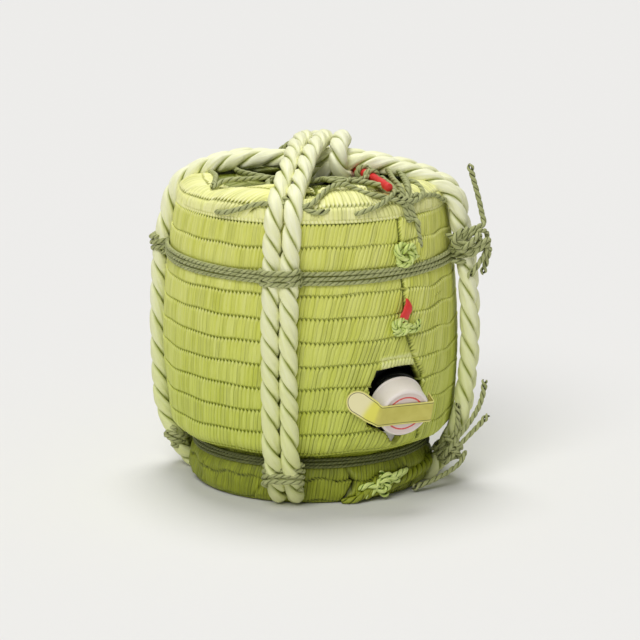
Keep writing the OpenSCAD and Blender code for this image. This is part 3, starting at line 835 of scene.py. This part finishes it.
def mat_foot():
    """The mat below its side: drawn in under the lower band, in folds, and turned under the jar."""
    columns = REEDS * PER_REED
    start, turned_in = s_at(FOOT_TOP_Z), s_at(3.0)
    s = np.concatenate([np.arange(start, turned_in, 0.9), np.arange(turned_in, turned_in + 12, 0.8),
                        np.arange(turned_in + 12, LINE_S[-1], 4.0), [LINE_S[-1] - 0.01]])
    c, d = np.meshgrid(np.arange(columns) / PER_REED, s)
    theta = c * 360 / REEDS
    rows = 1.2 * np.sin(np.radians(theta) * 9) + 0.8 * np.sin(np.radians(theta) * 23 + 1)
    shift, _, lift, hollow, course = weave(c, d - start + 5.4 + rows, 0.6, 0.7)
    low = np.interp(d, LINE_S, LINE[:, 1])
    below = unit((LOWER_BAND_Z - low) / 8)
    crease_shade, step = 0 * theta, 0 * theta
    for i in range(FOOT_FOLDS):
        at = 360 / FOOT_FOLDS * (i + 0.45 * REED_TONE[i, 5]) + 3 * np.sin(low / 6 + i)
        a = (theta - at + 180) % 360 - 180
        crease = hump(a, 0.9)
        proud = 1.4 * np.exp(-np.abs(a - 2.2) / 6) * (a > 0) - 1.9 * crease
        crease_shade = crease_shade + crease * (0.6 + 0.4 * REED_TONE[i, 6])
        step = step + below * proud * (0.8 + 0.4 * REED_TONE[i, 7])
    step = step + below * 0.7 * np.sin(np.radians(theta) * 17 + low / 3) * unit((low - 3) / 6)
    under = unit((2.5 - low) / 2.5)
    lift = (0.8 * lift + step) * (1 - under) - 0.25 * under * (hollow > 0.3) - 0.05
    lift = np.where(low < 4, np.minimum(lift, 0), lift)
    # Painted shade in the creases of the folds
    hollow = unit(hollow + 0.9 * crease_shade * below)
    turn = theta + shift * 360 / REEDS
    quads = grid_quads(len(s), columns, closed=True)[:, ::-1]
    outer, inner = on_mat(turn, d, lift), on_mat(turn, d, 0 * lift - FOOT_T)
    points, faces, grain, hollow = woven(outer, inner, quads, c, d, course, hollow, 0.8, 3)
    # The foot takes the darker rush, painted shade
    return make_mesh("mat_foot", points, faces, SHADED_RUSH, grain, hollow)


# Reed numbers of the borders between the side's panels, which lie behind the ropes
quarter = REEDS / 4
borders = [-int(quarter / 2), int(round(quarter / 2)), int(round(1.5 * quarter)), int(round(2.5 * quarter)),
           REEDS - int(quarter / 2)]
mat_pieces = [side_panel("mat_side_" + side, borders[i], borders[i + 1])
              for i, side in enumerate(("front", "right", "back", "left"))]
mat_pieces += [mat_top(), mat_flaps(), mat_foot()]
for piece in mat_pieces:
    finish_piece(piece, replaces=("mat",))

# Ropes: the part's own routes, in mm


def rope_side(start_z):
    return ([[36, start_z - (start_z - CROSS_Z) * 0.4 - 1], [60, 188.2]]
            + arc(SHOULDER_C, SHOULDER_R + LIE - BITE, 62, 14, 3)
            + [[mat_r(140) + LIE, 140], [mat_r(112) + LIE, 112], [BELLY_R + LIE, BELLY_Z],
               [mat_r(62) + LIE, 62], arc(HEM_C, HEM_R + LIE, -10, -10, 1)[0], [FOOT_R + 12.5, 25],
               [FOOT_R + 7.5, 14], [FOOT_R + 0.5, 5.9]])


def opposite(points):
    return [[-q[0], q[1]] for q in points[::-1]]


def rope_turn(start_z, base_z):
    under = [[40, ROPE_D / 2 + 0.4], [15, base_z], [-15, base_z], [-40, ROPE_D / 2 + 0.4]]
    return rope_side(start_z) + under + opposite(rope_side(start_z))


def lane(line, y):
    return [[q[0], y, q[1]] for q in line]


front_turn = rope_turn(OVER_Z, ROPE_D / 2 + 0.4)
front_route = ([[-21, -PAIR / 2, 186], [-19, -PAIR / 2, 195], [-12, -PAIR / 2, OVER_Z - 1.5],
                [2, -PAIR / 2, OVER_Z]]
               + lane(front_turn, -PAIR / 2)
               + [[-30, 1.5, 200.6], [-18, PAIR / 2 + 0.2, 203.4], [2, PAIR / 2, OVER_Z]]
               + lane(front_turn[:-1], PAIR / 2)
               + [[-45, 9.6, 194.6], [-30, 13.4, 199.6], [-14, 16.4, OVER_Z - 0.6], [0, 17.6, OVER_Z + 0.8],
                  [12.6, 18.6, OVER_Z - 3], [17.4, 19.8, 194], [12, 21.4, 185], [0, 23, 182.4]])
side_turn = rope_turn(CROSS_Z, ROPE_D * 1.5 + 1)
side_route = ([[-11, -2, 181.2], [5, -4, 183.2], [20, -PAIR / 2, 191.4]]
              + lane(side_turn, -PAIR / 2)
              + [[-20, -PAIR / 2, CROSS_Z], [0, 0, CROSS_Z + 0.2], [20, PAIR / 2, CROSS_Z]]
              + lane(side_turn, PAIR / 2)
              + [[-20, PAIR / 2, 190.4], [-9, 11, 184]])
ROPE_PITCH = 30.0
# How far the right pair stands off the mat, and how far every rope strays sideways
SLACK, SWAY = 4.0, 0.4


def make_rope(name, route, turn):
    strands = Strands()
    line, at = smooth_path(turned(route, turn - 90), 3.0, 6)
    sway = np.sin(at / 13 + turn) + 0.7 * np.sin(at / 7.3 + 1)
    beside = np.cross(np.gradient(line, axis=0), [0, 0, 1.0])
    beside /= np.linalg.norm(beside, axis=1)[:, None] + 0.2
    out = around(1.0, RIGHT, 0)
    loose = hump(line[:, 2] - 176, 17) + 0.8 * np.exp(-((line[:, 2] - 110) / 62) ** 4)
    loose = loose * unit((line @ out - 45) / 25)
    line = line + SLACK * loose[:, None] * out + SWAY * sway[:, None] * beside
    strands.rope(line, ROPE_D * 1.08, ROPE_PITCH, 40, 1.2, rounds=3, ridges=0.045)
    finish_piece(strands.piece(name + "_straw", ROPE), replaces=(name,))


make_rope("rope_front_back", front_route, FRONT)
make_rope("rope_side_to_side", side_route, RIGHT)

# Twine
TWINE_LAY = 8.5


def make_twine(name, routes, d=TWINE_D, sides=10, step=0.8, rounds=4, fan=0.0, material=TWINE):
    strands = Strands()
    for route in routes:
        strands.rope(route, d, TWINE_LAY * d / TWINE_D, sides, step, rounds=rounds, ridges=0.04, squeeze=0.1,
                     taper=(2, 2), fan=fan)
    finish_piece(strands.piece(name + "_twine", material), replaces=(name,))


def band_route(r, z, dip, dip_a, pitch):
    """Three turns round the barrel, rising pitch a turn. They lie lower by dip at turn dip_a."""
    i = np.arange(3 * 48 + 1) / 48
    a = RIGHT + 360 * i
    wander = 0.35 * np.sin(np.radians(5 * a) + 2 * np.floor(i)) * pitch / TWINE_PITCH
    return around(r, a, z + pitch * (i - 1.5) + wander - dip * np.cos(np.radians(a - dip_a)))


upper_route = band_route(mat_r(UPPER_BAND_Z) + 0.9, UPPER_BAND_Z, BAND_DIP, BAND_DIP_A, 2.7)
make_twine("upper_band", [upper_route], d=2.6)
# The lower band takes the darker twine, painted shade
make_twine("lower_band", [band_route(GROOVE_R + 1.3, LOWER_BAND_Z + 1, 0, 0, 2.0)], d=2.0, material=SHADED_TWINE)


def hitch_route(a, r, z, lean, turns=3):
    """Turns of twine round a pair of ropes, crossing between them, leaning back by lean degrees."""
    t = 2 * math.pi * np.arange(turns * 24 + 1) / 24
    wide = ROPE_D / 2 + TWINE_D / 2 - 0.3
    x = wide * np.cos(t) + np.sign(np.round(np.cos(t), 6)) * PAIR / 2
    y = wide * np.sin(t)
    z_in = TWINE_PITCH * (t / (2 * math.pi) - turns / 2)
    e = math.radians(lean)
    p = np.stack([x, y * math.cos(e) - z_in * math.sin(e) - r, y * math.sin(e) + z_in * math.cos(e) + z], -1)
    return turned(p, a)


UPPER_LEAN, LOWER_HITCH_R, LOWER_HITCH_Z, LOWER_LEAN = 7, FOOT_R + 10.3, 20.0, -24.0
for side, a in (("front", FRONT), ("right", RIGHT), ("back", FRONT + 180), ("left", RIGHT + 180)):
    turns = 4 if side == "front" else 3
    make_twine("upper_hitch_" + side, [hitch_route(a, mat_r(UPPER_BAND_Z) + LIE, UPPER_BAND_Z, UPPER_LEAN)])
    make_twine("lower_hitch_" + side, [hitch_route(a, LOWER_HITCH_R, LOWER_HITCH_Z, LOWER_LEAN, turns)])


def at_right(points):
    """Points beside the right pair of ropes: along the rim away from the spout, out and up."""
    p = np.asarray(points, float)
    return turned(np.stack([p[:, 0], -p[:, 1], p[:, 2]], -1), RIGHT)


UPPER_KNOT = [
    [[-11, 86, 146], [-12.8, 92, 149], [-11.5, 98, 153], [-7, 104, 155], [-1, 106.5, 152],
     [-2, 106, 146], [-8, 103, 143.5], [-12.8, 96, 144.5], [-14.5, 91, 149], [-13, 95, 154],
     [-7.5, 101.5, 157], [-2, 104.5, 158], [1, 103, 164], [2, 100.5, 174], [2.6, 97.5, 184],
     [3, 95, 193]],
    [[-13, 83.5, 153], [-14.5, 89, 151.5], [-15, 95, 148.5], [-12.5, 101, 147], [-8, 106, 149],
     [-4, 108, 149], [-6, 107, 143], [-9, 104, 137], [-9.8, 100, 131], [-10, 96.5, 127]],
    [[-13.5, 92, 145], [-12.5, 99, 141.5], [-8.5, 106, 146.5], [-2.5, 108.5, 143], [0, 106.5, 136],
     [0.5, 104, 127]],
    [[-9, 86, 144], [-14.5, 90, 143], [-16.5, 96, 146.5], [-14.5, 101, 151], [-11, 103, 153.5],
     [-9, 103.5, 149.5], [-12, 99.5, 144.5], [-16.5, 93, 144.5], [-17.5, 89, 149.5], [-15, 92, 155],
     [-9.5, 99, 156]],
]
LOWER_KNOT = [
    [[-9, 83, 30], [-15, 86, 29], [-16, 91, 26], [-11, 94, 23], [-8, 92, 20.5], [-10, 86, 20],
     [-15.5, 85, 22], [-17, 89.5, 22.5], [-12.5, 93.5, 18.5], [-8.5, 91.5, 16], [-11, 85.5, 15.5],
     [-16, 84.5, 18], [-17.6, 89, 25], [-14, 92.5, 30], [-10, 96, 34], [-7, 100.5, 41], [-5, 104, 48],
     [-3, 106, 56], [-2, 106.5, 63]],
    [[-10, 81, 17], [-15.5, 84.5, 14], [-16.5, 88.5, 17], [-14, 92.5, 23.5], [-10.5, 97.5, 29],
     [-8, 104, 36], [-6, 109.5, 42.5]],
    [[-14.5, 85, 28], [-13.8, 90, 31], [-12.4, 92, 39], [-11.4, 91.5, 50]],
    [[-11.5, 97, 21], [-16, 94, 14.5], [-22, 87, 9.5], [-30, 77, 5.4], [-36, 68.5, 3]],
]
for name, knot, d in (("upper_knot", UPPER_KNOT, 3.3), ("lower_knot", LOWER_KNOT, 3.1)):
    make_twine(name, [at_right(route) for route in knot], d=d, sides=12, rounds=2, fan=0.9)

# Lacing over the flaps, as radius, turn and lift off the top
LACING_D = 3.2
LACING = [
    [(70, -88, 3), (62, -88, 5), (52, -78, 5), (46, -68, 5), (34, -62, 4), (24, -40, 3)],
    [(80, -77, 1), (80, -71, 3.4), (79, -64, 4.4), (77, -57, 4.2), (76, -49, 4), (77, -40, 3.4),
     (76, -34, 4), (72, -30, 5), (66, -24, 7.5), (63, -16, 7.5), (66, -11, 5.5), (71, -8, 4.6),
     (74, -2, 4.4), (77, 5, 4.4), (79, 9, 3.4)],
    [(34, -62, 4), (46, -66, 3), (60, -56, 3.4), (72, -47, 3.4), (76, -38, 2.6), (78.5, -33, 2.6),
     (78, -26, 2.2)],
    [(30, -30, 2), (42, -24, 4), (54, -21, 7), (57, -14, 7), (51, -8, 6), (50, 0, 5), (46, 12, 5),
     (34, 30, 5)],
    [(48, -40, 4), (39, -20, 4), (46, -13, 5), (52, -7, 5.4), (56, 0, 5.4), (66, 6, 5), (75, 9, 4.4)],
    [(79.5, -16, 2.4), (79, -12, 4), (78, -6, 4.4), (76, 0, 4.8), (73, 6, 5), (64, 12, 4.4),
     (50, 20, 4)],
    [(77, 9, 4), (76, 16, 4.4), (77, 23, 4.2), (78, 30, 4.2), (80, 37, 3.4), (80, 46, 2)],
    [(60, 30, 3), (68, 28, 4.6), (76, 22, 4.4), (78, 13, 4.6), (76, 5, 5.4)],
    [(50, 160, 2), (70, 186, 2.5), (66, 216, 2.5), (58, 252, 4), (66, 268, 4), (70, 272, 3)],
    [(30, 60, 2), (56, 84, 4), (62, 118, 4), (56, 150, 4), (40, 190, 3), (44, 240, 3), (30, 300, 2)],
]
# Ends that stand up behind the ropes, as radius, turn and height
STUBS = [[(60, -156, 189), (54, -153, 192.5), (46, -150, 194.5)],
         [(30, -172, 194), (25, -178, 198), (20, 172, 202)]]
laced = [[over_top(*q) for q in route] for route in LACING]
laced += [[around(*q) for q in route] for route in STUBS]
make_twine("top_lacing", laced, d=LACING_D, sides=12, fan=0.8)

# The bundle: three strands that gather over the rim, the last of which hangs down beside the seam
BUNDLE = [
    [(40, 64, 5), (46, 38, 6), (60, 18, 6.4), (73, 10, 6), (78, 8, 3.6), (81, 8, 2.6), (83.4, 8, 2.2),
     (84.3, 8, 2)],
    [(44, 50, 6), (52, 38, 7), (63, 24, 6.4), (74, 13, 6), (78, 9.8, 3.6), (81, 9.8, 2.6),
     (83.4, 9.8, 2.2)],
    [(38, 80, 4), (50, 52, 5), (58, 34, 5), (70, 19, 5), (78, 11.6, 3.6), (81, 11.6, 2.6),
     (83.4, 11.6, 2.2), (84.3, 11.6, 2)],
]
bundle = [[over_top(*q) for q in route] for route in BUNDLE]
bundle[2] += [around(mat_r(160) + 2.2, 13.5, 160), around(mat_r(152) + 2.6, 14.0, 151)]
make_twine("lacing_bundle", bundle, d=LACING_D, sides=12)

TUBE_R, TUBE_FAR, TUBE_NEAR = 2.5, (23.5, 73, 5.5), (71, 4.5, 6.5)
# Loops of twine tied round the tube: how far along it, and how many turns
TUBE_LOOPS = [(0.42, 1.6), (0.60, 1.5)]


def make_tube():
    """Red tube threaded on the lacing, with loops of twine tied round it."""
    far, near = over_top(*TUBE_FAR), over_top(*TUBE_NEAR)
    line = [far + (near - far) * t + [0, 0, 1.2 * math.sin(math.pi * t)] for t in (0, 0.33, 0.66, 1)]
    tube = Strands()
    path, at = smooth_path(line, 0.6, 8)
    u, v = frames(path)
    size = TUBE_R + 0.12 * np.sin(at / 2.1) + 0.1 * np.sin(at / 0.9)
    size[[0, -1]] = TUBE_R - 0.3
    tube.tube(path, at, u, v, strand_section(1, 28), size, 0 * at, ridges=0.012)
    finish_piece(tube.piece("red_tube_plastic", RED), replaces=("red_tube",))
    loops = Strands()
    for start, turns in TUBE_LOOPS:
        i = int(start * len(path))
        t = np.linspace(0, 2 * math.pi * turns, int(16 * turns))
        ahead = path[i + 3] - path[i - 3]
        along = path[i] + np.outer(np.linspace(-1.8, 1.8, len(t)), ahead / np.linalg.norm(ahead))
        ring = along + (TUBE_R + 1.4) * (np.outer(np.cos(t), u[i]) + np.outer(np.sin(t), v[i]))
        end = ring[-1] + 4 * (ring[-1] - ring[-2])
        loops.rope([*ring, end], 2.8, 7.0, 10, 0.7, rounds=1, taper=(1, 1))
    finish_piece(loops.piece("tube_loops", TWINE))


make_tube()

# Small things at the seam


def beside_seam(a, z, points):
    """Points near turn a and height z on the mat: across, up and out."""
    p = np.asarray(points, float)
    r = mat_r(z) + 1.5
    return around(r + p[:, 2], a + np.degrees(p[:, 0] / r), z + p[:, 1])


def overhand(size, roll, out, thick):
    """A closed knot of three lobes, turned by roll degrees."""
    t = np.linspace(0, 2 * math.pi, 40)
    x, y = (2 + np.cos(3 * t)) * np.cos(2 * t), (2 + np.cos(3 * t)) * np.sin(2 * t)
    c, s = math.cos(math.radians(roll)), math.sin(math.radians(roll))
    return np.stack([size * (x * c - y * s), size * (x * s + y * c), out + thick * np.sin(3 * t)], -1)


def seam_tie(name, a, z, routes, d):
    lines = [beside_seam(a, z, route) for route in routes]
    make_twine(name, lines, d=d, sides=12, step=0.6, rounds=1, fan=0.6, material=GREEN_TIE)


seam_tie("seam_tie_upper", SEAM_A + 0.3, 149.5, [
    overhand(2.3, 20, 2.2, 1.5),
    [[-2, 3, 1], [-5.5, 4.5, 0.8], [-6, 0.5, 1.6], [-3, -2, 3.6], [2, -4.2, 3.4], [6.5, -3.4, 1.6],
     [10, -1.6, 0.8]],
    [[3, 4, 3], [6.6, 2.4, 2], [7.6, -1, 1.4], [11, -3.6, 0.9]],
    [[-6, -4.6, 1.0], [-3, -6.2, 1.6], [1.5, -5.8, 2], [5, -5.2, 1.2]],
], 2.9)
seam_tie("seam_tie_middle", SEAM_A - 0.6, 107.5, [
    overhand(1.5, 50, 1.8, 1.2) + np.array([-5.4, 0.6, 0]),
    [[-4, 2, 3], [0, 0.8, 3.4], [4, -0.6, 2.6], [8, 0.4, 1.2], [10.5, 2.4, 0.8]],
    [[-4, -1, 2.4], [0, -2.6, 2.6], [4.5, -3.2, 2.2], [8.5, -2.6, 1.2], [10, -0.6, 0.8]],
    [[-7, 3, 1.4], [-3, 4, 1.2], [-1, 2, 2.4], [-2, -2.6, 3.2], [-6, -3.8, 1.6], [-9.5, -2.4, 1]],
], 2.8)


def beside_foot(route):
    """Points given as mm out from the foot, turn and height."""
    return [around(FOOT_R + out, a, z) for out, a, z in route]


# Straw braided along the foot's lower edge, with a folded straw below it
BRAID = [(0.6, -13, 3.6), (0.6, -6, 6), (0.6, 2, 8), (0.6, 12, 9.5), (0.6, 24, 10.5), (0.6, 36, 12),
         (0.6, 44, 15)]
FOLDED_STRAW = [(1, -20, 1.8), (3, -13, 3), (2, -6, 8), (1, -2, 14)]
braid = Strands()
braid.rope(beside_foot(BRAID), 8.0, 16.0, 20, 1.0, strands=3, taper=(6, 6))
braid.rope(beside_foot(FOLDED_STRAW), 4.0, 12.0, 14, 0.8, taper=(4, 4))
# The braid takes the darker rush of the foot, painted shade
finish_piece(braid.piece("foot_braid", SHADED_RUSH))

LOWER_TIE = [
    [(3, 15, 15.5), (3.4, 9, 13), (3.4, 2, 10), (3, -5, 6.6), (1.6, -9, 3.4)],
    [(5, 12, 16), (5.6, 5, 14.5), (4.6, -1, 12.4), (3.4, -6, 8.6)],
    [(5, 8, 10), (6, 4, 13), (5.4, 1, 15.6), (3, -2, 16)],
    [(5, 0, 6), (5.8, 1.5, 9), (6, 0, 12.4), (4, -3, 14)],
    [(1.6, -12, 8), (3.4, -8, 10.6), (4.4, -4, 9), (4.4, -1, 5.6), (2.4, 2, 3.4)],
]
make_twine("seam_tie_lower", [beside_foot(route) for route in LOWER_TIE], d=3.6, sides=14, fan=1.4,
           material=GREEN_TIE)
TAPE_W, TAPE_T = 6.2, 1.5


def make_tape():
    """The end of red tape, a flat loop that comes out of the seam and goes under the middle tie."""
    line = beside_seam(SEAM_A - 0.4, 114.5, [[3.2, 6.4, -1], [2.0, 5.6, 1.2], [0.4, 3.4, 2.4], [-1.6, 0, 2.6],
                                             [-3.2, -3.4, 2.0], [-4.0, -5.6, 0.8]])
    path, at = smooth_path(line, 0.5, 4)
    tangent = np.gradient(path, axis=0)
    tangent /= np.linalg.norm(tangent, axis=1)[:, None]
    out = around(1.0, SEAM_A, 0) + 0 * path
    wide = np.cross(tangent, out)
    wide /= np.linalg.norm(wide, axis=1)[:, None]
    flat = np.cross(wide, tangent)
    k = 2 * math.pi * np.arange(24) / 24
    x = TAPE_W / 2 * np.sign(np.cos(k)) * np.abs(np.cos(k)) ** 0.5
    y = TAPE_T / 2 * np.sin(k) - 0.05 * x ** 2
    tape = Strands()
    tape.tube(path, at, wide, flat, (x, y), 1 + 0.06 * np.sin(at * 1.3), 0 * at, ridges=0.02)
    finish_piece(tape.piece("seam_tape_loop", RED), replaces=("seam_tape",))


make_tape()

# Cap, spout and jar
tilt, spout_turn = math.radians(SPOUT_TILT), math.radians(SPOUT_TURN)
level = math.cos(tilt)
SPOUT_ACROSS = np.array([math.cos(spout_turn), -math.sin(spout_turn), 0])
SPOUT_OUT = np.array([-math.sin(spout_turn) * level, -math.cos(spout_turn) * level, -math.sin(tilt)])
SPOUT_UP = np.cross(SPOUT_OUT, SPOUT_ACROSS)
SPOUT_AT = np.array([SPOUT_X, -mat_r(SPOUT_Z), SPOUT_Z])


def on_spout(x, y, z):
    """Points across, up and out along the spout."""
    x, y, z = (np.asarray(q, float)[..., None] for q in (x, y, z))
    return SPOUT_AT + x * SPOUT_ACROSS + y * SPOUT_UP + z * SPOUT_OUT


CAP_SIDES = 160
RING_R, FAR_OUT = 11.0, 30


def cap_material():
    """Off-white plastic, greyer and pinker on its face, with a plain red ring there."""
    material, tree, shader = new_material("cap plastic")
    place = tree.nodes.new("ShaderNodeTexCoord").outputs["Object"]
    ring = attribute(tree, "out_from_axis").outputs["Fac"]
    drift, grain = drift_and_grain(tree, 60, 900)
    side = mix_colour(tree, drift, srgb(244, 236, 228), srgb(238, 228, 219))
    face = mix_colour(tree, drift, srgb(233, 218, 210), srgb(226, 209, 202))
    colour = mix_colour(tree, ramp(tree, ring, 14.4, 13.4), side, face)
    wander = math_node(tree, "MULTIPLY", noise(tree, place, 700, 2.0), 0.5)
    from_ring = math_node(tree, "SUBTRACT", math_node(tree, "ADD", ring, wander), RING_R)
    near = math_node(tree, "ABSOLUTE", from_ring)
    colour = mix_colour(tree, ramp(tree, near, 0.62, 0.4), colour, srgb(224, 84, 76))
    surface(tree, shader, colour, scaled(tree, grain, 0.12, 0.34), grain, 0.02)
    return material


def make_cap():
    """The cap: a closed outline of [radius, z], turned about the spout's axis."""
    inside_r = CAP_R - CAP_WALL
    under, top, r = CAP_BASE, CAP_TOP, CAP_R
    profile = [
        [inside_r, under + 0.3], [inside_r + 0.3, under], [r - 0.4, under], [r - 0.1, under + 0.1],
        [r, under + 0.4], [r, under + 1.0], [r - 0.15, under + 1.3], [r - 0.75, under + 1.42],
        [r - 0.8, under + 1.75], [r - 0.45, under + 1.95], [r - 0.35, under + 2.5], [r - 0.5, under + 3.0],
        [r - 0.8, top - 4], [r - 0.85, top - 1.8], [r - 1.0, top - 1.1], [r - 1.35, top - 0.5],
        [r - 1.9, top - 0.1], [r - 2.2, top], [r - 2.6, top - 0.05], [r - 3.1, top - 0.4],
        [r - 3.7, top - 0.55], [4, top - 0.55], [0.05, top - 0.55], [0.05, top - CAP_WALL],
        [inside_r, top - CAP_WALL],
    ]
    k = 2 * math.pi * np.arange(CAP_SIDES) / CAP_SIDES
    out, z = np.array(profile, float).T[..., None]
    points = on_spout(out * np.cos(k), out * np.sin(k), z + 0 * k).reshape(-1, 3)
    column = np.arange(CAP_SIDES)
    last = len(points) - CAP_SIDES
    join = np.stack([last + column, last + (column + 1) % CAP_SIDES, (column + 1) % CAP_SIDES, column], -1)
    faces = np.concatenate([grid_quads(len(profile), CAP_SIDES, closed=True), join])
    # The ring is printed on the face alone
    radii = np.array([p[0] if p[1] > top - 1 else FAR_OUT for p in profile])
    extra = {"out_from_axis": np.repeat(radii, CAP_SIDES)}
    piece = make_mesh("cap_shell", points, faces, cap_material(), extra=extra)
    finish_piece(piece, "cap", ("cap",))


make_cap()


def seal_material():
    """Yellow paper with a thin dark line inside its edges; the tab is cream."""
    material, tree, shader = new_material("seal paper")
    border = attribute(tree, "from_edge").outputs["Fac"]
    tab = attribute(tree, "to_tab").outputs["Fac"]
    drift, grain = drift_and_grain(tree, 120, 1500, 3.0)
    colour = mix_colour(tree, drift, srgb(214, 206, 104), srgb(203, 194, 88))
    colour = mix_colour(tree, ramp(tree, tab, 0.5, 2.5), colour, srgb(232, 226, 96))
    colour = mix_colour(tree, ramp(tree, tab, 5.5, 9.0), colour, srgb(240, 232, 180))
    colour = mix_colour(tree, ramp(tree, border, 0.9, 0.6), colour, srgb(228, 222, 130))
    line = math_node(tree, "ABSOLUTE", math_node(tree, "SUBTRACT", border, 1.15))
    colour = mix_colour(tree, ramp(tree, line, 0.26, 0.12), colour, srgb(84, 74, 30))
    surface(tree, shader, colour, scaled(tree, grain, 0.15, 0.4), grain, 0.02)
    return material


# The seal: its strip, the round tab on its left, turned up by TAB_TURN, and the end folded back on its right
STRIP_W, STRIP_T, FOLD_L = 14.0, 0.4, 9.5
TAB_D, TAB_L, TAB_TURN, TAB_SLOPE = 14.8, 11.0, 28.0, 0.66
STRIP_LEFT, STRIP_RIGHT = 0.4 - CAP_R, CAP_R + 0.6
FOLD_SLANT = 0.127
SEAL_COLUMNS = 41


def seal_line():
    """Section of the strip, from the tab's end to the end folded back, as [x, z] rounded at its folds."""
    low = CAP_TOP + 0.1
    reach = TAB_L + TAB_D / 2
    p = [[STRIP_LEFT - reach, low - reach * TAB_SLOPE], [STRIP_LEFT, low], [STRIP_RIGHT, low],
         [STRIP_RIGHT + 0.5, low - FOLD_L]]
    points = [p[0]]
    for a, b in zip(p, p[1:]):
        n = int(math.dist(a, b) / 0.3)
        points += [[a[0] + (b[0] - a[0]) * i / n, a[1] + (b[1] - a[1]) * i / n] for i in range(1, n + 1)]
    points = np.array(points)
    for _ in range(5):
        points[1:-1] = (points[:-2] + 2 * points[1:-1] + points[2:]) / 4
    return points


def make_seal():
    """The paper seal: a strip over the cap, its left end a round tab turned up, its right end folded back."""
    line = seal_line()
    along = np.concatenate([[0], np.cumsum(np.linalg.norm(np.diff(line, axis=0), axis=1))])
    middle = TAB_D / 2
    round_half = np.sqrt(np.clip(middle ** 2 - (middle - along) ** 2, 0.02, None))
    widening = (TAB_D - STRIP_W) / 2 * np.exp(-(along - middle) / 6)
    half = np.where(along < middle, round_half, STRIP_W / 2 + widening)
    sheet_y = half[:, None] * np.linspace(-1, 1, SEAL_COLUMNS)[None, :]
    x = line[:, :1] + 0 * sheet_y
    out = np.clip(STRIP_LEFT - x, 0, None)
    a = np.radians(TAB_TURN)
    blend = unit(out / 5) ** 2
    slant = (1 - blend) * FOLD_SLANT * np.exp(-np.clip(x - STRIP_LEFT, 0, None) / 9) + blend * np.tan(a)
    way = np.sqrt(1 + slant ** 2)
    turned_x = np.maximum(x, STRIP_LEFT) - out * np.cos(a) + sheet_y * slant / way
    turned_y = out * np.sin(a) + sheet_y / way
    z = line[:, 1:] + 0.014 * sheet_y ** 2 * blend - 0.25 * hump(turned_x + 3, 9) * (1 - blend)
    normal = np.stack([-np.gradient(line[:, 1]), np.gradient(line[:, 0])], -1)
    normal /= np.linalg.norm(normal, axis=1)[:, None]
    lower = on_spout(turned_x, turned_y, z).reshape(-1, 3)
    upper = on_spout(turned_x + normal[:, :1] * STRIP_T, turned_y, z + normal[:, 1:] * STRIP_T).reshape(-1, 3)
    points, faces, source, _ = closed_sheet(upper, lower, grid_quads(len(line), SEAL_COLUMNS))
    from_side = half[:, None] - np.abs(sheet_y)
    from_end = along[-1] - along[:, None] + 0 * sheet_y
    from_round = middle - np.hypot(middle - along[:, None], sheet_y)
    edge = np.where(along[:, None] < middle, from_round, np.minimum(from_side, from_end))
    extra = {"from_edge": edge.ravel()[source], "to_tab": out.ravel()[source]}
    piece = make_mesh("paper_seal", points, faces, seal_material(), extra=extra)
    finish_piece(piece, "cap", ("seal_strip",))


make_seal()


# Parts of the frame that show as they are, in their own finish
for node, material in (("jar", GLAZE), ("spout", BLACK), ("cap_liner", FOAM), ("lining_paper", PAPER)):
    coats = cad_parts[node].data.materials
    coats.clear()
    coats.append(material)

# Floor and light
BACKDROP = (0.80, 0.793, 0.777)
FLOOR_HALF = 8.0
WORLD_LIGHT = 0.23
# Lamps, each as turn, height, strength and how wide it is, in degrees
LAMPS = {"overhead": (150, 74, 1.7, 28), "front": (-54, 46, 1.42, 34)}


def make_floor():
    mesh = bpy.data.meshes.new("floor")
    corners = [(x * FLOOR_HALF, y * FLOOR_HALF, 0) for x, y in ((-1, -1), (1, -1), (1, 1), (-1, 1))]
    mesh.from_pydata(corners, [], [(0, 1, 2, 3)])
    material, _, shader = new_material("floor")
    shader.inputs["Base Color"].default_value = (*BACKDROP, 1)
    shader.inputs["Roughness"].default_value = 0.9
    shader.inputs["Specular IOR Level"].default_value = 0.1
    mesh.materials.append(material)
    floor = new_object("floor", mesh)


def sun(name, turn, height, strength, wide):
    light = bpy.data.lights.new(name, "SUN")
    light.energy = strength
    light.angle = math.radians(wide)
    view_from(new_object(name, light), turn, height)


def make_light():
    world = bpy.data.worlds.new("studio")
    bpy.context.scene.world = world
    world.use_nodes = True
    background = world.node_tree.nodes["Background"]
    background.inputs["Color"].default_value = (1.0, 1.0, 1.0, 1)
    background.inputs["Strength"].default_value = WORLD_LIGHT
    for name, lamp in LAMPS.items():
        sun(name, *lamp)


make_floor()
make_light()
bpy.context.scene.view_settings.view_transform = "Standard"
